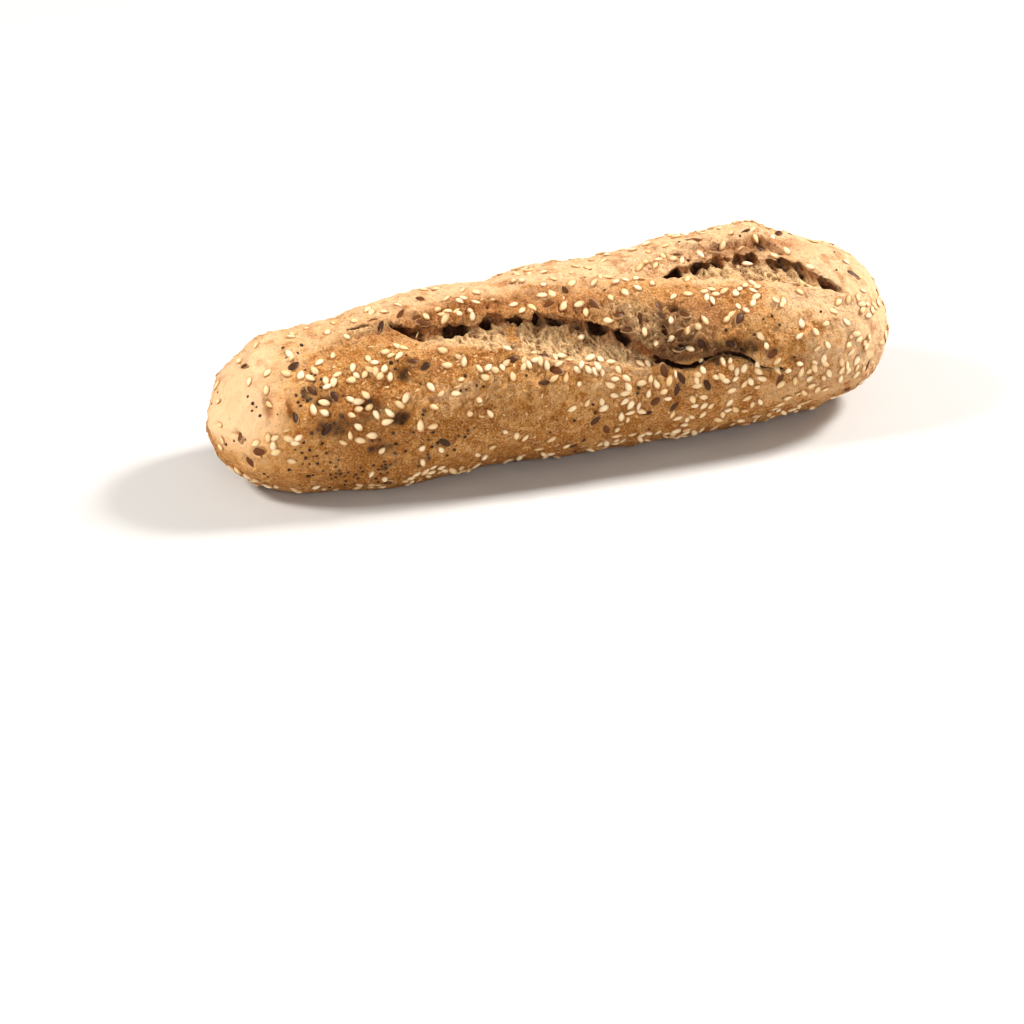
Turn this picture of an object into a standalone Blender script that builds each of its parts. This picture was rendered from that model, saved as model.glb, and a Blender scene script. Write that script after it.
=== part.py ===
"""A seeded rye baguette: one crusty loaf with two torn slashes, and flax and sesame seeds fused to its crust.

The loaf lies along X on a flat base at z = 0, with its front towards -Y. Lengths below are in millimetres and
angles in degrees. A mesh is written in metres. An angle round the loaf is 0 at its front and 90 on its top.
"""

import math

import bmesh
import bpy
import numpy as np
from mathutils import Matrix, Vector

MM = 0.001

# The loaf is a core line along X, wrapped at the girth below and rounded off at both ends.
CORE_HALF_LENGTH = 70.6
GIRTH_AT = (-70.6, -47.0, -23.5, 0.0, 23.5, 47.0, 70.6)
GIRTH = (22.1, 25.0, 26.4, 27.2, 27.7, 28.1, 27.0)
LEFT_END_STRETCH = 1.17
RIGHT_END_STRETCH = 1.05
WIDTH_TO_GIRTH = 1.065
HEIGHT_TO_GIRTH = 0.94
END_ARC = 38.0

# The middle of the loaf's box, seen from above, before the loaf is moved to stand on the origin.
BOX_MIDDLE = (1.25, 0.47)

# The bottom is pressed flat, and the crust rolls up from the flat over a short radius.
BASE_SINK = 3.6
BASE_ROLL = 0.6

# Broad swells of the dough, as place along X and height: a row behind the crest, and a row low on the front.
CREST_ANGLE = 118.0
CREST_SWELLS = (
    (-78.0, 2.3),
    (-62.0, 0.7),
    (-30.0, 0.8),
    (-14.0, -0.9),
    (2.0, 0.5),
    (18.0, -0.7),
    (34.0, 0.7),
    (50.0, 1.4),
    (64.0, 3.8),
    (78.0, -1.5),
)
LOW_ANGLE = -61.0
LOW_SWELLS = (
    (-82.0, -0.9),
    (-68.0, 0.6),
    (-52.0, 1.6),
    (-36.0, 0.9),
    (-20.0, -1.3),
    (14.0, -0.5),
    (50.0, -1.2),
    (68.0, -2.4),
    (82.0, -2.5),
)
SWELL_REACH = 11.0
SWELL_TURN = 42.0

# Slashes: place along X, angle round the loaf, half of the opening's width, depth.
FRONT_SLASH = (
    (-66.0, 104.0, 0.2, 0.4),
    (-57.0, 89.0, 0.9, 1.4),
    (-49.0, 81.0, 0.9, 1.6),
    (-41.0, 68.0, 1.7, 3.4),
    (-28.0, 62.0, 3.8, 4.8),
    (-13.0, 52.0, 5.6, 5.6),
    (3.0, 40.5, 5.5, 5.6),
    (13.0, 32.5, 4.2, 5.4),
    (22.0, 22.0, 1.7, 5.0),
    (34.0, 17.0, 1.0, 4.8),
    (48.0, 10.5, 0.8, 3.4),
    (62.0, 2.0, 0.2, 0.4),
)
BACK_SLASH = (
    (6.0, 112.0, 0.2, 0.4),
    (16.0, 93.0, 1.0, 1.6),
    (26.0, 77.0, 2.0, 3.4),
    (36.0, 70.5, 2.7, 4.4),
    (47.0, 68.5, 3.2, 4.6),
    (57.0, 65.0, 3.2, 4.2),
    (67.0, 62.0, 2.4, 3.6),
    (74.0, 57.0, 1.3, 2.6),
    (81.0, 46.0, 0.2, 0.4),
)
# The dough sinks towards a slash between two rounded banks: a broad valley and a narrower one, as reach across
# the slash and share of its depth.
VALLEYS = ((11.0, 0.28), (4.5, 0.30))
# A tear leans under its upper lip, so that the lip overhangs it.
TEAR_TO_DEPTH = 0.65
TEAR_LEAN = 0.55
TEAR_RAISED = 0.5
TEAR_RAGGED = 0.3
TEAR_SIDES = 10
TEAR_RINGS = 42

# Lumps of the crust: wavelength and height.
LUMPS = ((17.0, 0.55), (8.0, 0.22))
LUMP_SEED = 5.0

# The loaf's grid of faces: rings along it, faces round it, and how far those crowd towards the front and top.
LOAF_RINGS = 50
LOAF_SIDES = 40
CROWDING = 0.22
CROWDED_ANGLE = 48.0

# Seeds: length, width and thickness. A seed is sunk a little under half of its thickness.
FLAX_SIZE = (4.7, 2.35, 1.1)
SESAME_SIZE = (3.3, 1.95, 1.0)
FLAX_SIDES = 6
SESAME_SIDES = 5
SEED_RINGS = 3
SEED_LIFT = 0.18
SEED_TAPER = 0.22
SEED_LEAN = 9.0
FLAX_COUNT = 44
SESAME_COUNT = 116
FLAX_SPACING = 6.0
SESAME_SPACING = 4.2
SEED_DRAW = 20

# Where the seeds lie thickest: place along X, angle round the loaf, reach along X, reach in degrees, share.
SESAME_PATCHES = (
    (-50.0, 52.0, 9.0, 14.0, 0.90),
    (-68.0, 48.0, 9.0, 13.0, 0.50),
    (-80.0, 12.0, 7.0, 10.0, 0.55),
    (-60.0, 12.0, 18.0, 22.0, 0.25),
    (-14.0, 33.0, 19.0, 9.0, 0.95),
    (-20.0, 0.0, 22.0, 26.0, 0.12),
    (15.0, 4.0, 11.0, 26.0, 0.55),
    (40.0, -4.0, 17.0, 18.0, 0.60),
    (67.0, 0.0, 18.0, 24.0, 0.45),
    (50.0, 42.0, 19.0, 13.0, 0.45),
    (78.0, 32.0, 13.0, 22.0, 0.38),
    (30.0, 76.0, 15.0, 14.0, 0.35),
    (-26.0, 80.0, 19.0, 13.0, 0.28),
    (10.0, -42.0, 75.0, 9.0, 0.50),
    (35.0, 122.0, 50.0, 18.0, 0.20),
    (-30.0, 150.0, 28.0, 20.0, 0.45),
    (45.0, 170.0, 26.0, 24.0, 0.45),
)
SESAME_EVERYWHERE = 0.12
FLAX_PATCHES = (
    (-64.0, 30.0, 18.0, 26.0, 0.45),
    (-40.0, 86.0, 20.0, 14.0, 0.65),
    (-12.0, 34.0, 14.0, 7.0, 0.50),
    (18.0, 38.0, 13.0, 15.0, 1.00),
    (46.0, 18.0, 16.0, 11.0, 0.80),
    (24.0, -4.0, 22.0, 12.0, 0.45),
    (34.0, 80.0, 20.0, 14.0, 0.40),
    (70.0, 100.0, 18.0, 18.0, 0.30),
    (88.0, 24.0, 10.0, 40.0, 0.35),
    (0.0, 165.0, 60.0, 25.0, 0.25),
)
FLAX_EVERYWHERE = 0.05
SEED_FLOOR_CLEARANCE = 4.5
SEED_LIP_CLEARANCE = 1.9

CRUST = (0.42, 0.22, 0.10, 1.0)
CRUST_ROUGHNESS = 0.78


def through(stations, values, at):
    """A smooth curve that passes through each value at its station, held level past the ends."""
    stations = np.asarray(stations, float)
    values = np.asarray(values, float)
    slopes = np.gradient(values, stations)
    first = np.clip(np.searchsorted(stations, at) - 1, 0, len(stations) - 2)
    span = stations[first + 1] - stations[first]
    t = np.clip((at - stations[first]) / span, 0.0, 1.0)
    return (
        (2 * t**3 - 3 * t**2 + 1) * values[first]
        + (t**3 - 2 * t**2 + t) * span * slopes[first]
        + (3 * t**2 - 2 * t**3) * values[first + 1]
        + (t**3 - t**2) * span * slopes[first + 1]
    )


def lumps(points, wavelength, seed):
    """Soft random relief between -1 and 1: a value for each corner of a lattice, eased in between."""
    cell = points / wavelength
    corner = np.floor(cell)
    ease = cell - corner
    ease = ease * ease * (3.0 - 2.0 * ease)
    total = np.zeros(points.shape[:-1])
    for step in np.ndindex(2, 2, 2):
        key = (corner + step) @ np.array((12.9898, 78.233, 37.719)) + seed
        value = 2.0 * np.modf(np.abs(np.sin(key)) * 43758.5453)[0] - 1.0
        total += value * np.prod(np.where(step, ease, 1.0 - ease), axis=-1)
    return total


def turned(angle, centre):
    """How far an angle in degrees lies from a centre, between -180 and 180."""
    return (angle - centre + 180.0) % 360.0 - 180.0


def girth_at(x):
    """The loaf's girth radius at a place along its core."""
    return through(GIRTH_AT, GIRTH, x)


def end_stretch(x):
    """How long the rounded end on this side is, against the girth."""
    return np.where(x < 0, LEFT_END_STRETCH, RIGHT_END_STRETCH)


def run_at(x):
    """The run, from -1 at the left tip to 1 at the right tip, at which the skin reaches x."""
    x = np.asarray(x, float)
    past = np.maximum(np.abs(x) - CORE_HALF_LENGTH, 0.0)
    reach = end_stretch(x) * girth_at(np.clip(x, -CORE_HALF_LENGTH, CORE_HALF_LENGTH))
    lean = np.arcsin(np.clip(past / reach, 0.0, 1.0))
    along = np.minimum(np.abs(x), CORE_HALF_LENGTH) + lean * END_ARC / (math.pi / 2)
    return np.sign(x) * along / (CORE_HALF_LENGTH + END_ARC)


def swell_at(x, angle):
    """The height of the broad swells at a place on the loaf."""
    height = np.zeros(np.broadcast(x, angle).shape)
    for centre, swells in ((CREST_ANGLE, CREST_SWELLS), (LOW_ANGLE, LOW_SWELLS)):
        around = np.exp(-((turned(angle, centre) / SWELL_TURN) ** 2))
        for place, swell in swells:
            height += swell * around * np.exp(-(((x - place) / SWELL_REACH) ** 2))
    return height


def slash_at(slash, x, angle):
    """The distance across a slash, with its half-width and depth there. Past its ends both are nought."""
    places, angles, widths, depths = zip(*slash)
    radians_to_side = math.radians(1.0) * girth_at(x)
    slope = (through(places, angles, x + 0.5) - through(places, angles, x - 0.5)) * radians_to_side
    across = turned(angle, through(places, angles, x)) * radians_to_side / np.hypot(1.0, slope)
    inside = (x > places[0]) & (x < places[-1])
    width = np.where(inside, through(places, widths, x), 0.0)
    return across, width, np.where(inside, through(places, depths, x), 0.0)


def skin(run, angle):
    """Points on the crust before it is torn. run goes from the left tip at -1 to the right tip at 1."""
    run, angle = np.broadcast_arrays(np.asarray(run, float), np.asarray(angle, float))
    along = run * (CORE_HALF_LENGTH + END_ARC)
    core = np.clip(along, -CORE_HALF_LENGTH, CORE_HALF_LENGTH)
    lean = (along - core) / END_ARC * (math.pi / 2)
    wrap = np.cos(lean)
    girth = girth_at(core)
    x = core + end_stretch(core) * girth * np.sin(lean)
    turn = np.radians(angle)
    radius = girth + swell_at(x, angle) * np.sqrt(np.maximum(wrap, 0.0))
    for slash in (FRONT_SLASH, BACK_SLASH):
        across, _, depth = slash_at(slash, x, angle)
        for reach, share in VALLEYS:
            radius = radius - share * depth * np.exp(-((across / reach) ** 2))
    rough = np.stack((x, -girth * wrap * np.cos(turn), girth * wrap * np.sin(turn)), axis=-1)
    for wavelength, height in LUMPS:
        radius = radius + height * lumps(rough, wavelength, LUMP_SEED)
    y = -WIDTH_TO_GIRTH * radius * wrap * np.cos(turn)
    z = HEIGHT_TO_GIRTH * (girth + radius * wrap * np.sin(turn)) - BASE_SINK
    roll = np.where(z < -BASE_ROLL, 0.0, (z + BASE_ROLL) ** 2 / (4.0 * BASE_ROLL))
    return np.stack((x, y, np.where(z > BASE_ROLL, z, roll)), axis=-1)


def outward(run, angle):
    """The unit normal of the crust at a place on the loaf."""
    along = skin(run + 0.002, angle) - skin(run - 0.002, angle)
    round_it = skin(run, angle + 0.5) - skin(run, angle - 0.5)
    normal = np.cross(round_it, along)
    return normal / np.linalg.norm(normal, axis=-1, keepdims=True)


def write_object(name, mesh_maker, collection):
    """A new object in a collection, with the mesh that mesh_maker leaves in a bmesh, in triangles."""
    work = bmesh.new()
    mesh_maker(work)
    bmesh.ops.triangulate(work, faces=work.faces)
    bmesh.ops.recalc_face_normals(work, faces=work.faces)
    mesh = bpy.data.meshes.new(name)
    work.to_mesh(mesh)
    work.free()
    made = bpy.data.objects.new(name, mesh)
    collection.objects.link(made)
    return made


def ball_grid(work, sides, rings):
    """A ball with its poles on X. Gives each vertex with its run between the poles and its angle."""
    ball = bmesh.ops.create_uvsphere(work, u_segments=sides, v_segments=rings, radius=1.0)
    to_x = Matrix.Rotation(math.radians(90.0), 3, "Y")
    bmesh.ops.rotate(work, verts=ball["verts"], cent=(0.0, 0.0, 0.0), matrix=to_x)
    places = np.array([vertex.co[:] for vertex in ball["verts"]])
    run = 1.0 - 2.0 * np.arccos(np.clip(places[:, 0], -1.0, 1.0)) / math.pi
    angle = np.degrees(np.arctan2(places[:, 2], -places[:, 1]))
    return ball["verts"], run, angle


def move_to(vertices, points):
    """Moves each vertex to its point, given in millimetres."""
    for vertex, point in zip(vertices, points * MM):
        vertex.co = Vector(point)


def loaf_shape(work):
    """The loaf before it is torn: a ball grid wrapped onto the skin, with its faces crowded to the front and top."""
    vertices, run, angle = ball_grid(work, LOAF_SIDES, LOAF_RINGS)
    from_crowd = turned(angle, CROWDED_ANGLE)
    angle = angle - CROWDING * np.degrees(np.sin(np.radians(from_crowd)))
    move_to(vertices, skin(run, angle))


def tear_shape(slash):
    """A maker of the ragged spindle that tears one slash open."""

    def shape(work):
        vertices, run, round_it = ball_grid(work, TEAR_SIDES, TEAR_RINGS)
        places, angles, widths, depths = zip(*slash)
        x = places[0] + (places[-1] - places[0]) * (run + 1.0) / 2.0
        angle = through(places, angles, x)
        at = run_at(x)
        middle = skin(at, angle)
        normal = outward(at, angle)
        forward = skin(run_at(x + 0.5), through(places, angles, x + 0.5))
        forward = forward - skin(run_at(x - 0.5), through(places, angles, x - 0.5))
        upward = np.cross(normal, forward)
        upward /= np.linalg.norm(upward, axis=-1, keepdims=True)
        turn = np.radians(round_it)
        out = np.sin(turn) * TEAR_TO_DEPTH * through(places, depths, x)
        side = np.cos(turn) * through(places, widths, x) - TEAR_LEAN * np.minimum(out, 0.0)
        tip = np.sqrt(np.maximum(1.0 - run**2, 0.0)) ** 0.25
        ragged = 1.0 + TEAR_RAGGED * lumps(middle + 9.0 * normal * turn[:, None], 3.1, LUMP_SEED + 2.0)
        out = (out * ragged * tip + TEAR_RAISED)[:, None]
        side = (side * ragged * tip)[:, None]
        move_to(vertices, middle + out * normal + side * upward)

    return shape


def seed_shape(size, sides):
    """A maker of one seed, long along X and flat in Z, with one end more pointed than the other."""
    length, width, thickness = size

    def shape(work):
        vertices, _, _ = ball_grid(work, sides, SEED_RINGS)
        unit = np.array([vertex.co[:] for vertex in vertices])
        narrowed = 1.0 - SEED_TAPER * unit[:, :1]
        unit[:, 1:] *= narrowed
        move_to(vertices, unit * np.array((length, width, thickness)) / 2.0)

    return shape


def seed_share(patches, everywhere, x, angle):
    """How thickly seeds lie at a place, against the thickest patch."""
    share = everywhere
    for place, centre, reach, turn, weight in patches:
        share += weight * math.exp(-(((x - place) / reach) ** 2) - (turned(angle, centre) / turn) ** 2)
    return share


def clear_of_tears(x, angle, margin):
    """Whether a place lies clear of both slashes' openings."""
    for slash in (FRONT_SLASH, BACK_SLASH):
        across, width, _ = slash_at(slash, x, angle)
        if width > 0.0 and abs(across) < width * (1.0 + TEAR_LEAN) + margin:
            return False
    return True


def sow(draw, count, spacing, patches, everywhere, sown):
    """Draws places for seeds on the crust, each clear of the floor, the slashes and the seeds sown before it."""
    seeds = []
    while len(seeds) < count:
        run, angle, chance, heading, lean = draw.random(5)
        run = 1.86 * run - 0.93
        angle = 360.0 * angle - 90.0
        place = skin(run, angle)
        if place[2] < SEED_FLOOR_CLEARANCE or chance > seed_share(patches, everywhere, place[0], angle):
            continue
        if not clear_of_tears(place[0], angle, SEED_LIP_CLEARANCE):
            continue
        if any(np.linalg.norm(place - other) < (spacing + gap) / 2.0 for other, gap in sown):
            continue
        sown.append((place, spacing))
        seeds.append((place, outward(run, angle), 2.0 * math.pi * heading, SEED_LEAN * (2.0 * lean - 1.0)))
    return seeds


def seed_matrix(place, normal, heading, lean):
    """The frame of a seed that lies on the crust: flat on it, turned to its heading and tipped a little."""
    flat = Vector(normal).to_track_quat("Z", "X").to_matrix().to_4x4()
    turn = Matrix.Rotation(heading, 4, "Z") @ Matrix.Rotation(math.radians(lean), 4, "Y")
    return Matrix.Translation(Vector((place + SEED_LIFT * normal) * MM)) @ flat @ turn


def scatter_seeds(collection):
    """Flax first, as it is the largest, and then sesame: each seed is a closed body half sunk in the crust."""
    draw = np.random.default_rng(SEED_DRAW)
    sown = []
    flax = sow(draw, FLAX_COUNT, FLAX_SPACING, FLAX_PATCHES, FLAX_EVERYWHERE, sown)
    sesame = sow(draw, SESAME_COUNT, SESAME_SPACING, SESAME_PATCHES, SESAME_EVERYWHERE, sown)
    for name, seeds, size, sides in (("flax", flax, FLAX_SIZE, FLAX_SIDES), ("sesame", sesame, SESAME_SIZE, SESAME_SIDES)):
        for number, seed in enumerate(seeds):
            made = write_object(f"{name}_{number:03d}", seed_shape(size, sides), collection)
            made.matrix_world = seed_matrix(*seed)


def apply_boolean(target, operation, collection):
    """Joins or cuts a whole collection into the target, applies it, and removes the collection's objects."""
    boolean = target.modifiers.new(operation.lower(), "BOOLEAN")
    boolean.operation = operation
    boolean.operand_type = "COLLECTION"
    boolean.collection = collection
    boolean.solver = "EXACT"
    bpy.context.view_layer.update()
    graph = bpy.context.evaluated_depsgraph_get()
    joined = bpy.data.meshes.new_from_object(target.evaluated_get(graph))
    target.modifiers.clear()
    target.data = joined
    for helper in list(collection.objects):
        bpy.data.objects.remove(helper)
    bpy.data.collections.remove(collection)


def new_collection(name, helper):
    """A collection in the scene. A helper collection is left out of renders."""
    made = bpy.data.collections.new(name)
    bpy.context.scene.collection.children.link(made)
    made.hide_render = helper
    return made


def crust_material():
    """The baked crust's plain finish."""
    material = bpy.data.materials.new("crust")
    material.use_nodes = True
    principled = material.node_tree.nodes["Principled BSDF"]
    principled.inputs["Base Color"].default_value = CRUST
    principled.inputs["Roughness"].default_value = CRUST_ROUGHNESS
    principled.inputs["Metallic"].default_value = 0.0
    return material


def main():
    """Clears the scene and models the loaf."""
    for old in list(bpy.data.objects):
        bpy.data.objects.remove(old)
    bread = new_collection("rye_baguette", helper=False)
    loaf = write_object("loaf", loaf_shape, bread)

    tears = new_collection("tears", helper=True)
    write_object("front_tear", tear_shape(FRONT_SLASH), tears)
    write_object("back_tear", tear_shape(BACK_SLASH), tears)
    apply_boolean(loaf, "DIFFERENCE", tears)

    seeds = new_collection("seeds", helper=True)
    scatter_seeds(seeds)
    apply_boolean(loaf, "UNION", seeds)
    loaf.data.transform(Matrix.Translation((-BOX_MIDDLE[0] * MM, -BOX_MIDDLE[1] * MM, 0.0)))

    loaf.data.materials.clear()
    loaf.data.materials.append(crust_material())
    loaf.data.shade_smooth()
    loaf.data.set_sharp_from_angle(angle=math.radians(35.0))


main()
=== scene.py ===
"""The looks of a seeded rye baguette: baked crust, the crumb that two slashes lay open, and the seeds.

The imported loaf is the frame. The crust follows the loaf's own rule, repeated here as Dough, and adds the
relief that a solid of few faces can't hold. Lengths are in millimetres and angles in degrees, and a mesh is
written in metres. An angle round the loaf is 0 at its front and 90 on its top.
"""

import logging
import math
from collections.abc import Mapping, Sequence
from dataclasses import dataclass, field
from enum import Enum
from functools import partial, reduce
from operator import itemgetter
from typing import NamedTuple
import bpy
import numpy as np
from bpy.types import ID, Material, Mesh, Node, NodeTree, Object
from bpy.types import NodeSocket as Socket
from mathutils import Matrix, Vector
from mathutils.bvhtree import BVHTree


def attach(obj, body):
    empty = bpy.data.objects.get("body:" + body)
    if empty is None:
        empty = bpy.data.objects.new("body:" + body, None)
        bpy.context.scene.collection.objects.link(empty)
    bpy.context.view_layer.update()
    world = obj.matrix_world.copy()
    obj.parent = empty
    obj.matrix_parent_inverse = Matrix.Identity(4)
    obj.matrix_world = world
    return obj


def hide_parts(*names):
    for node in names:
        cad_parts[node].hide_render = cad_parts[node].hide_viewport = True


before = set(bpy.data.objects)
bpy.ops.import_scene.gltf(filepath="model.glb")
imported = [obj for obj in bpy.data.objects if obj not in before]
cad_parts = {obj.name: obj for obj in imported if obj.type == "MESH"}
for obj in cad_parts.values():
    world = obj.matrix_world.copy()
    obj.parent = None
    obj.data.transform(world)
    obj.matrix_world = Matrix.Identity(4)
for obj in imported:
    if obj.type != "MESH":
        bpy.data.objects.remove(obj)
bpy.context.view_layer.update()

Array = np.ndarray
Colour = tuple[float, float, float, float]
Span = tuple[float, float]
Pairs = tuple[Span, ...]
Row = tuple[float, float, float, float, float]
Inputs = Mapping[str | int, object]

MM = 0.001
BODY = "root"
LOAF = "loaf"
DRESSED = ("Base Color", "Roughness", "Specular IOR Level", "Normal")
LATTICE_KEY = np.array((12.9898, 78.233, 37.719))

log = logging.getLogger("rye_baguette")


def colour(red: float, green: float, blue: float) -> Colour:
    """A linear colour from the 0 to 255 values that a screen shows.

    Args:
        red: Red on the screen.
        green: Green on the screen.
        blue: Blue on the screen.

    Returns:
        The colour as Blender holds it, opaque.
    """
    linear = [
        (part / 255.0 / 12.92) if part <= 10.3 else ((part / 255.0 + 0.055) / 1.055) ** 2.4
        for part in (red, green, blue)
    ]
    return linear[0], linear[1], linear[2], 1.0


def through(stations: Sequence[float], values: Sequence[float], at: Array) -> Array:
    """A smooth curve that passes through each value at its station, held level past the ends.

    Args:
        stations: Places in rising order.
        values: The value at each place.
        at: Where the curve is read.

    Returns:
        The curve's values there.
    """
    places = np.asarray(stations, float)
    heights = np.asarray(values, float)
    slopes = np.gradient(heights, places)
    first = np.clip(np.searchsorted(places, at) - 1, 0, len(places) - 2)
    span = places[first + 1] - places[first]
    t = np.clip((at - places[first]) / span, 0.0, 1.0)
    return (
        (2 * t**3 - 3 * t**2 + 1) * heights[first]
        + (t**3 - 2 * t**2 + t) * span * slopes[first]
        + (3 * t**2 - 2 * t**3) * heights[first + 1]
        + (t**3 - t**2) * span * slopes[first + 1]
    )


def scattered(key: Array) -> Array:
    """A value from 0 to 1 for each key, with no order to it."""
    return np.modf(np.abs(np.sin(key)) * 43758.5453)[0]


def lumps(points: Array, wavelength: float, seed: float) -> Array:
    """Soft random relief between -1 and 1: a value for each corner of a lattice, eased in between.

    Args:
        points: Places, as rows of three.
        wavelength: The lattice's spacing.
        seed: Which relief, of all that the rule makes.

    Returns:
        One value for each place.
    """
    cell = points / wavelength
    corner = np.floor(cell)
    ease = cell - corner
    ease = ease * ease * (3.0 - 2.0 * ease)
    total = np.zeros(points.shape[:-1])
    for step in np.ndindex(2, 2, 2):
        value = 2.0 * scattered((corner + step) @ LATTICE_KEY + seed) - 1.0
        total += value * np.prod(np.where(step, ease, 1.0 - ease), axis=-1)
    return total


def layered(points: Array, sizes: Pairs, seed: float) -> Array:
    """Soft random relief of several sizes, each as a wavelength and a height, laid over each other."""
    return sum(height * lumps(points, wavelength, seed + wavelength) for wavelength, height in sizes)


def warped(points: Array, wavelength: float, seed: float, amount: float) -> Array:
    """Points pushed about softly, by up to an amount on each axis."""
    pushes = [lumps(points, wavelength, seed + turn) for turn in (1.0, 2.0, 3.0)]
    return points + amount * np.stack(pushes, axis=-1)


def webs(points: Array, wavelength: float, seed: float) -> Array:
    """A net of thin walls between rounded pores: 1 on a wall and 0 well inside a pore.

    Args:
        points: Places, as rows of three.
        wavelength: The usual distance between pores.
        seed: Which net, of all that the rule makes.

    Returns:
        One value for each place.
    """
    wall_sharpness, out_of_reach = 2.2, 9.0
    cell = points / wavelength
    corner = np.floor(cell)
    nearest = second = np.full(len(points), out_of_reach)
    for step in np.ndindex(3, 3, 3):
        at = corner + step - 1.0
        key = at @ LATTICE_KEY + seed
        jitter = np.stack([scattered(key + turn) for turn in (0.0, 1.7, 3.1)], axis=-1)
        far = np.linalg.norm(cell - at - jitter, axis=-1)
        second = np.minimum(second, np.maximum(nearest, far))
        nearest = np.minimum(nearest, far)
    return 1.0 - np.clip(wall_sharpness * (second - nearest), 0.0, 1.0)


def flat_places(first: Array, second: Array) -> Array:
    """Rows of three from two coordinates, all on one level."""
    return np.stack((first, second, np.full(len(first), 0.37)), axis=-1)


def flat_grid(first: Array, second: Array) -> tuple[Array, ...]:
    """Both coordinates of every place on a grid, as flat rows."""
    return tuple(grid.ravel() for grid in np.meshgrid(first, second, indexing="ij"))


def turned(angle: Array, centre: Array | float) -> Array:
    """How far an angle in degrees lies from a centre, between -180 and 180."""
    return (angle - centre + 180.0) % 360.0 - 180.0


def between_ends(rising: Array, middle: float, reach: float) -> slice:
    """Where rising values lie within reach of a middle one."""
    return slice(*np.searchsorted(rising, (middle - reach, middle + reach)))


def ramp(value: Array, low: float, high: float) -> Array:
    """An eased step from 0 where the value is at low to 1 where it is at high."""
    t = np.clip((value - low) / (high - low), 0.0, 1.0)
    return t * t * (3.0 - 2.0 * t)


def hump(distance: Array, reach: float) -> Array:
    """A soft bell that is 1 at no distance."""
    return np.exp(-((distance / reach) ** 2))


def within(span: Span, share: Array) -> Array:
    """The value at a share of the way along a span."""
    return span[0] + (span[1] - span[0]) * share


def at_least(least: float, share: Array) -> Array:
    """A share from 0 to 1, squeezed so that it starts at a least value."""
    return least + (1.0 - least) * share


def soft_least(first: Array, second: Array, blend: float) -> Array:
    """The lesser of two fields, with the corner between them rounded over a length."""
    gap = np.maximum(blend - np.abs(first - second), 0.0) / blend
    return np.minimum(first, second) - gap * gap * blend / 4.0


@dataclass(frozen=True)
class Patch:
    """A soft-edged place on the loaf: along X, round it, its reach both ways, and a share of something."""

    place: float
    angle: float
    reach: float
    turn: float
    share: float

    def at(self, x: Array, angle: Array) -> Array:
        """The patch's share at a place."""
        return self.share * hump(x - self.place, self.reach) * hump(turned(angle, self.angle), self.turn)


def patch_rows(*rows: Row) -> tuple[Patch, ...]:
    """Patches, from rows of place, angle, reach, turn and share."""
    return tuple(Patch(*row) for row in rows)


@dataclass(frozen=True)
class Hollow:
    """A gap torn under an upper lip: along X, across the slash, its half-sizes both ways, and its depth."""

    place: float
    across: float
    length: float
    width: float
    depth: float


@dataclass(frozen=True)
class Slash:
    """A slash: stations of place along X, angle round the loaf, half of the opening's width, and depth.

    Its edges are stations of place along X and the distances across at which it is torn, below and above.
    """

    name: str
    stations: tuple[tuple[float, float, float, float], ...]
    edges: tuple[tuple[float, float, float], ...]
    hollows: tuple[Hollow, ...]
    arch: float
    rag: float
    seed: float

    @property
    def start(self) -> float:
        """Where the slash starts along X."""
        return self.stations[0][0]

    @property
    def end(self) -> float:
        """Where the slash ends along X."""
        return self.stations[-1][0]

    def column(self, number: int, x: Array) -> Array:
        """One column of the stations at x: 1 is the angle, 2 the half-width and 3 the depth."""
        return through([row[0] for row in self.stations], [row[number] for row in self.stations], x)

    def edge(self, number: int, x: Array) -> Array:
        """One of the torn edges at x: 1 is the lower one and 2 the upper one."""
        return through([row[0] for row in self.edges], [row[number] for row in self.edges], x)


FRONT_SLASH = Slash(
    name="front",
    stations=(
        (-66, 104, 0.2, 0.4), (-57, 89, 0.9, 1.4), (-49, 81, 0.9, 1.6), (-41, 68, 1.7, 3.4),
        (-28, 62, 3.8, 4.8), (-13, 52, 5.6, 5.6), (3, 40.5, 5.5, 5.6), (13, 32.5, 4.2, 5.4),
        (22, 22, 1.7, 5), (34, 17, 1, 4.8), (48, 10.5, 0.8, 3.4), (62, 2, 0.2, 0.4),
    ),
    edges=(
        (-66, -0.1, 0.1), (-58.5, -0.3, 0.3), (-54.5, -0.8, 1), (-50.5, -0.1, 0.2), (-47.5, -0.3, 0.3),
        (-44, -1.5, 0.8), (-38, -2.5, 1.5), (-28, -4.4, 3.2), (-13, -6.1, 6.3), (3, -6, 6.2),
        (12, -4.8, 4.7), (18, -3.2, 2.4), (23, -2.2, 0.7), (27, -2.8, -0.6), (31.5, -3.3, -1.6),
        (36, -1.5, 0.2), (41.5, 1.1, 2.7), (47, 0.3, 1.9), (51.5, -1.7, -0.3), (57, -1.4, -0.3),
        (62, -0.1, 0.1),
    ),
    hollows=(
        Hollow(-42.1, 0, 3.8, 1.2, 4), Hollow(-32, 1.3, 2, 1.3, 4.2), Hollow(-28.2, 2.2, 2.2, 1.5, 4.8),
        Hollow(-21.6, 4.6, 2, 2, 5), Hollow(-13.2, 6, 2.7, 1.9, 5), Hollow(-8, 6, 1.5, 1.2, 3.4),
        Hollow(-2.6, 6, 2.3, 1.5, 4.2), Hollow(2.6, 5.6, 1.4, 1.2, 3.2), Hollow(8.2, 5.2, 2.7, 1.6, 4.4),
        Hollow(14.6, 3, 1.8, 1.2, 3.4),
    ),
    arch=1.0, rag=1.1, seed=11.0,
)
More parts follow.
